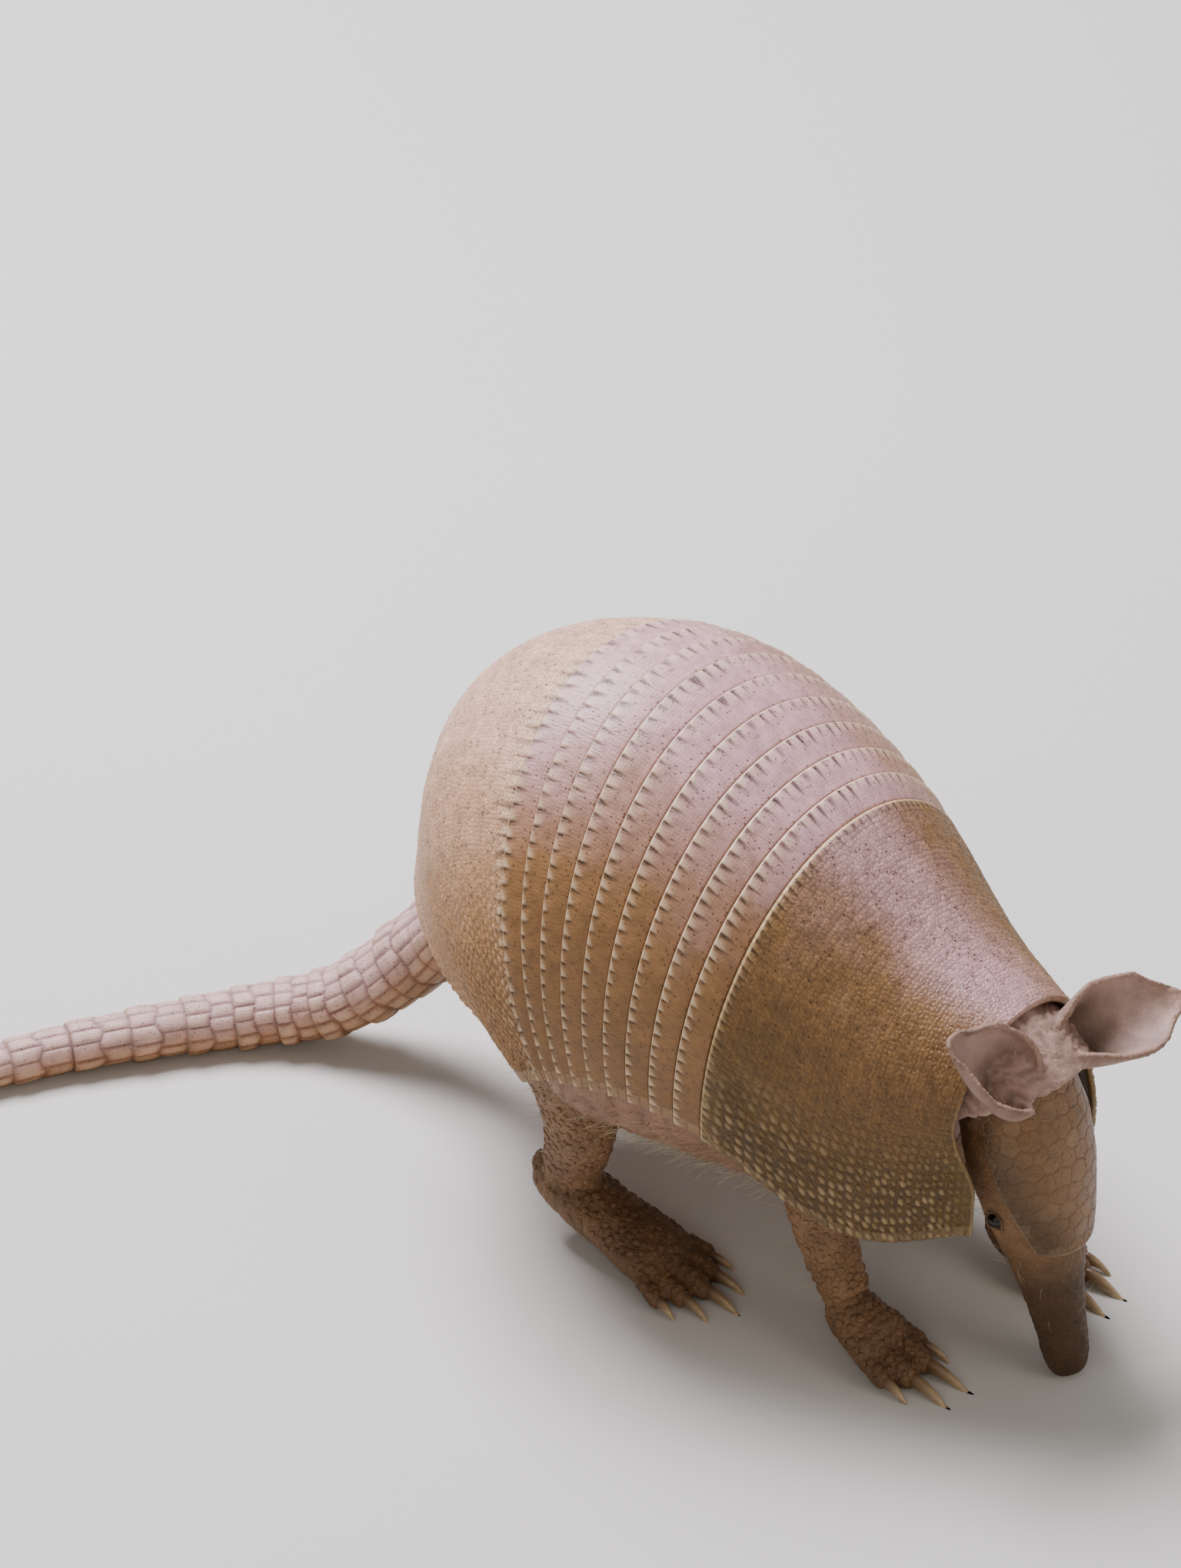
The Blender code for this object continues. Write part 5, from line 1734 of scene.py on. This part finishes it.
@dataclass
class Coat:
    """Small like things over the skin, set by a node tree; sizes in millimetres."""
    name: str
    shape: CoatShape
    mask: str
    finish: Finish
    density: float         # to the square metre
    apart: float
    length: float
    width: float
    seed: int

    def tree(self) -> bpy.types.NodeTree:
        """The node tree, with its sizes as named inputs."""
        tree = bpy.data.node_groups.new(self.name, 'GeometryNodeTree')
        for label, kind in (("Skin", "Geometry"), ("Density", "Float"), ("Apart", "Float"),
                            ("Length", "Float"), ("Width", "Float"), ("Seed", "Int"),
                            ("Coat", "Geometry")):
            tree.interface.new_socket(label, socket_type="NodeSocket" + kind,
                                      in_out='OUTPUT' if label == "Coat" else 'INPUT')
        given = add(tree, "NodeGroupInput").node.outputs
        mask, lie, root, local = (
            add(tree, "GeometryNodeInputNamedAttribute", {"Name": name}, "Attribute",
                data_type='FLOAT' if name == self.mask else 'FLOAT_VECTOR')
            for name in (self.mask, "lie", "unwrap", "local"))
        spots = add(tree, "GeometryNodeDistributePointsOnFaces",
                    {"Mesh": given["Skin"], "Distance Min": given["Apart"],
                     "Density Max": given["Density"], "Density Factor": mask,
                     "Seed": given["Seed"]}, distribute_method='POISSON').node.outputs
        stray = add(tree, "FunctionNodeRandomValue", {"Min": (-0.35,) * 3, "Max": (0.35,) * 3},
                    data_type='FLOAT_VECTOR')
        bent = add(tree, "VectorMath", (lie, stray))
        up = add(tree, "VectorMath", {0: spots["Normal"], 3: 0.55}, operation='SCALE')
        lean = add(tree, "VectorMath", (up, bent))
        flat = self.shape is CoatShape.SCALE
        turn = add(tree, "FunctionNodeAlignRotationToVector",
                   {"Vector": spots["Normal"] if flat else lean}, axis='Z')
        grow = add(tree, "FunctionNodeRandomValue", {2: 0.75, 3: 1.2}, data_type='FLOAT')
        thing = self.scale_shape(tree, given) if flat else self.bristle_shape(tree, given)
        set_on = add(tree, "GeometryNodeInstanceOnPoints",
                     {"Points": spots["Points"], "Instance": thing, "Rotation": turn,
                      "Scale": grow})
        real = add(tree, "GeometryNodeRealizeInstances", {"Geometry": set_on})
        small = add(tree, "VectorMath", {0: local, 3: 0.003}, operation='SCALE')
        patch = add(tree, "VectorMath", (root, small))
        mapped = add(tree, "GeometryNodeStoreNamedAttribute",
                     {"Geometry": real, "Name": "OFBake", "Value": patch},
                     data_type='FLOAT2', domain='CORNER')
        smooth = add(tree, "GeometryNodeSetShadeSmooth", {"Geometry": mapped})
        dressed = add(tree, "GeometryNodeSetMaterial",
                      {"Geometry": smooth, "Material": self.finish.material()})
        add(tree, "NodeGroupOutput", {"Coat": dressed})
        return tree

    def noted(self, tree: bpy.types.NodeTree, shape: bpy.types.NodeSocket,
              given: bpy.types.NodeSocket) -> bpy.types.NodeSocket:
        """Keep each point's own place in the shape, as shares of its length."""
        place = add(tree, "GeometryNodeInputPosition")
        share = add(tree, "VectorMath", (place, given), operation='DIVIDE')
        half = add(tree, "VectorMath", (share, (0.5, 0.5, 0.0)))
        height = add(tree, "SeparateXYZ", (share,)).node.outputs[2]
        for name, value, kind in (("local", half, 'FLOAT_VECTOR'), ("tip", height, 'FLOAT')):
            shape = add(tree, "GeometryNodeStoreNamedAttribute",
                        {"Geometry": shape, "Name": name, "Value": value},
                        data_type=kind, domain='POINT')
        return shape

    def bristle_shape(self, tree: bpy.types.NodeTree,
                      given: Sequence) -> bpy.types.NodeSocket:
        """A stiff hair: a thin three-sided cone, bent towards its tip."""
        cone = add(tree, "GeometryNodeMeshCone",
                   {"Vertices": 3, "Side Segments": 4, "Radius Bottom": given["Width"],
                    "Radius Top": 0.00003, "Depth": given["Length"]}, fill_type='TRIANGLE_FAN')
        split = add(tree, "SeparateXYZ", (add(tree, "GeometryNodeInputPosition"),))
        share = add(tree, "Math", (split.node.outputs[2], given["Length"]), operation='DIVIDE')
        curve = add(tree, "Math", (share, 2.0), operation='POWER')
        bend = add(tree, "Math", (curve, given["Length"]), operation='MULTIPLY')
        bend = add(tree, "Math", (bend, 0.22), operation='MULTIPLY')
        bowed = add(tree, "GeometryNodeSetPosition",
                    {"Geometry": cone, "Offset": add(tree, "CombineXYZ", (bend,))})
        return self.noted(tree, bowed, given["Length"])

    def scale_shape(self, tree: bpy.types.NodeTree, given: Sequence) -> bpy.types.NodeSocket:
        """A low round scale, half sunk in the skin."""
        ball = add(tree, "GeometryNodeMeshIcoSphere", {"Radius": given["Width"],
                                                       "Subdivisions": 2})
        squash = add(tree, "GeometryNodeTransform", {"Geometry": ball,
                                                     "Scale": (1.0, 1.0, 0.34)})
        return self.noted(tree, squash, given["Width"])

    def build(self, skin: bpy.types.Object, box: Sequence) -> None:
        """Grow the coat on the skin, make it a plain mesh and hand it over.

        Args:
            skin: the finished skin, which stays as it is.
            box: two corners that no point of the coat passes.
        """
        ground = linked(f"{self.name}_ground", skin.data)
        tree = self.tree()
        grow = ground.modifiers.new("grow", 'NODES')
        grow.node_group = tree
        values = {"Density": self.density, "Apart": self.apart * MM, "Length": self.length * MM,
                  "Width": self.width * MM, "Seed": self.seed}
        for item in tree.interface.items_tree:
            if item.in_out == 'INPUT' and item.name in values:
                grow[item.identifier] = values[item.name]
        graph = bpy.context.evaluated_depsgraph_get()
        mesh = bpy.data.meshes.new_from_object(ground.evaluated_get(graph))
        bpy.data.objects.remove(ground)
        spent = ["unwrap", "local", "lie", "scaly", "hairy"]
        if self.finish is not HIDE:
            spent += ["tan", "dark_skin_and_ear_shade", "leaf", "fold"]
        for name in spent:
            found = mesh.attributes.get(name)
            if found:
                mesh.attributes.remove(found)
        piece = linked(self.name, mesh)
        write(piece, np.clip(read(piece), np.array(box[0]), np.array(box[1])))
        hand_over(piece, self.finish, Slot.SKIN)


# ---- studio --------------------------------------------------------------

@dataclass
class Studio:
    """A pale floor, soft lights, and the camera low over the animal's right side.

    The camera looks from a turn round the animal and a height over the floor, both in
    degrees. What it takes in is this tall at the animal, in millimetres, with its middle
    this far to the right of and above a mark over the shell's own origin.
    """
    turn: float = 40.0
    rise: float = 36.0
    away: float = 2.4
    tall: float = 434.04
    slide: tuple[float, float] = (-44.04, 45.74)
    mark_height: float = 0.090

    def axes(self) -> tuple[np.ndarray, np.ndarray, np.ndarray]:
        """The camera's right, up and backward unit vectors."""
        a, e = math.radians(self.turn), math.radians(self.rise)
        right = np.array((math.cos(a), math.sin(a), 0.0))
        back = np.array((math.sin(a) * math.cos(e), -math.cos(a) * math.cos(e), math.sin(e)))
        return right, np.cross(back, right), back

    def camera(self) -> None:
        """Create the camera and make it the scene's."""
        right, up, back = self.axes()
        mark = SHELL_TO_MODEL + np.array((0, 0, self.mark_height))
        target = mark + (right * self.slide[0] + up * self.slide[1]) * MM
        data = bpy.data.cameras.new("view")
        data.sensor_width = 36.0
        data.lens = data.sensor_width * self.away / (self.tall * MM)
        data.clip_start = 0.05
        piece = linked("view", data)
        turn = Matrix((right, up, back)).transposed().to_4x4()
        piece.matrix_world = Matrix.Translation(Vector(target + back * self.away)) @ turn
        bpy.context.scene.camera = piece

    def lamp(self, name: str, place: tuple, size: float, watts: float, tone: str) -> None:
        """A square soft light aimed at the animal's back."""
        data = bpy.data.lights.new(name, 'AREA')
        data.size = size
        data.energy = watts
        data.color = linear(tone)[:3]
        piece = linked(name, data)
        aim = Vector((0.02, 0.03, 0.08)) - Vector(place)
        piece.rotation_euler = aim.to_track_quat('-Z', 'Y').to_euler()
        piece.location = place

    def build(self) -> None:
        """Set the floor, the lights and the camera."""
        mesh = bpy.data.meshes.new("floor")
        mesh.from_pydata([(-4, -4, 0), (4, -4, 0), (4, 4, 0), (-4, 4, 0)], [], [(0, 1, 2, 3)])
        mesh.materials.append(FLOOR.material())
        floor = linked("floor", mesh)
        floor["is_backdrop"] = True
        self.lamp("sky", (-0.70, 0.28, 1.45), 0.8, 60.0, "F8F6FF")
        self.lamp("near", (0.75, -1.25, 0.85), 1.1, 4.5, "FFEFDC")
        self.lamp("front", (1.45, 0.35, 0.8), 0.8, 4.5, "FFF6EA")
        world = bpy.data.worlds.new("room")
        world.use_nodes = True
        sky = world.node_tree.nodes["Background"]
        sky.inputs["Color"].default_value = linear("E9ECEF")
        sky.inputs["Strength"].default_value = 0.30
        bpy.context.scene.world = world
        self.camera()


def main() -> None:
    """Build the whole animal and its studio; the solids' box keeps the coats within it."""
    logging.basicConfig(level=logging.INFO, format="%(message)s")
    solid = [list(corner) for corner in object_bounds()]
    Studio().build()
    Armour().build()
    HeadPlate().build()
    Tail().build()
    skin = Hide().build()
    for side in (-1, 1):
        Eye(side).build()
        for plan in (HIND, FORE):
            for index in range(len(plan.toes)):
                Claw(plan, side, index).build()
    Coat("bristles_on_skin", CoatShape.BRISTLE, "hairy", BRISTLE, density=90000.0, apart=1.6,
         length=7.0, width=0.09, seed=SEED).build(skin, solid)
    Coat("scales_on_legs", CoatShape.SCALE, "scaly", HIDE, density=400000.0, apart=1.9,
         length=1.0, width=1.15, seed=SEED + 1).build(skin, solid)


if __name__ == "__main__":
    main()
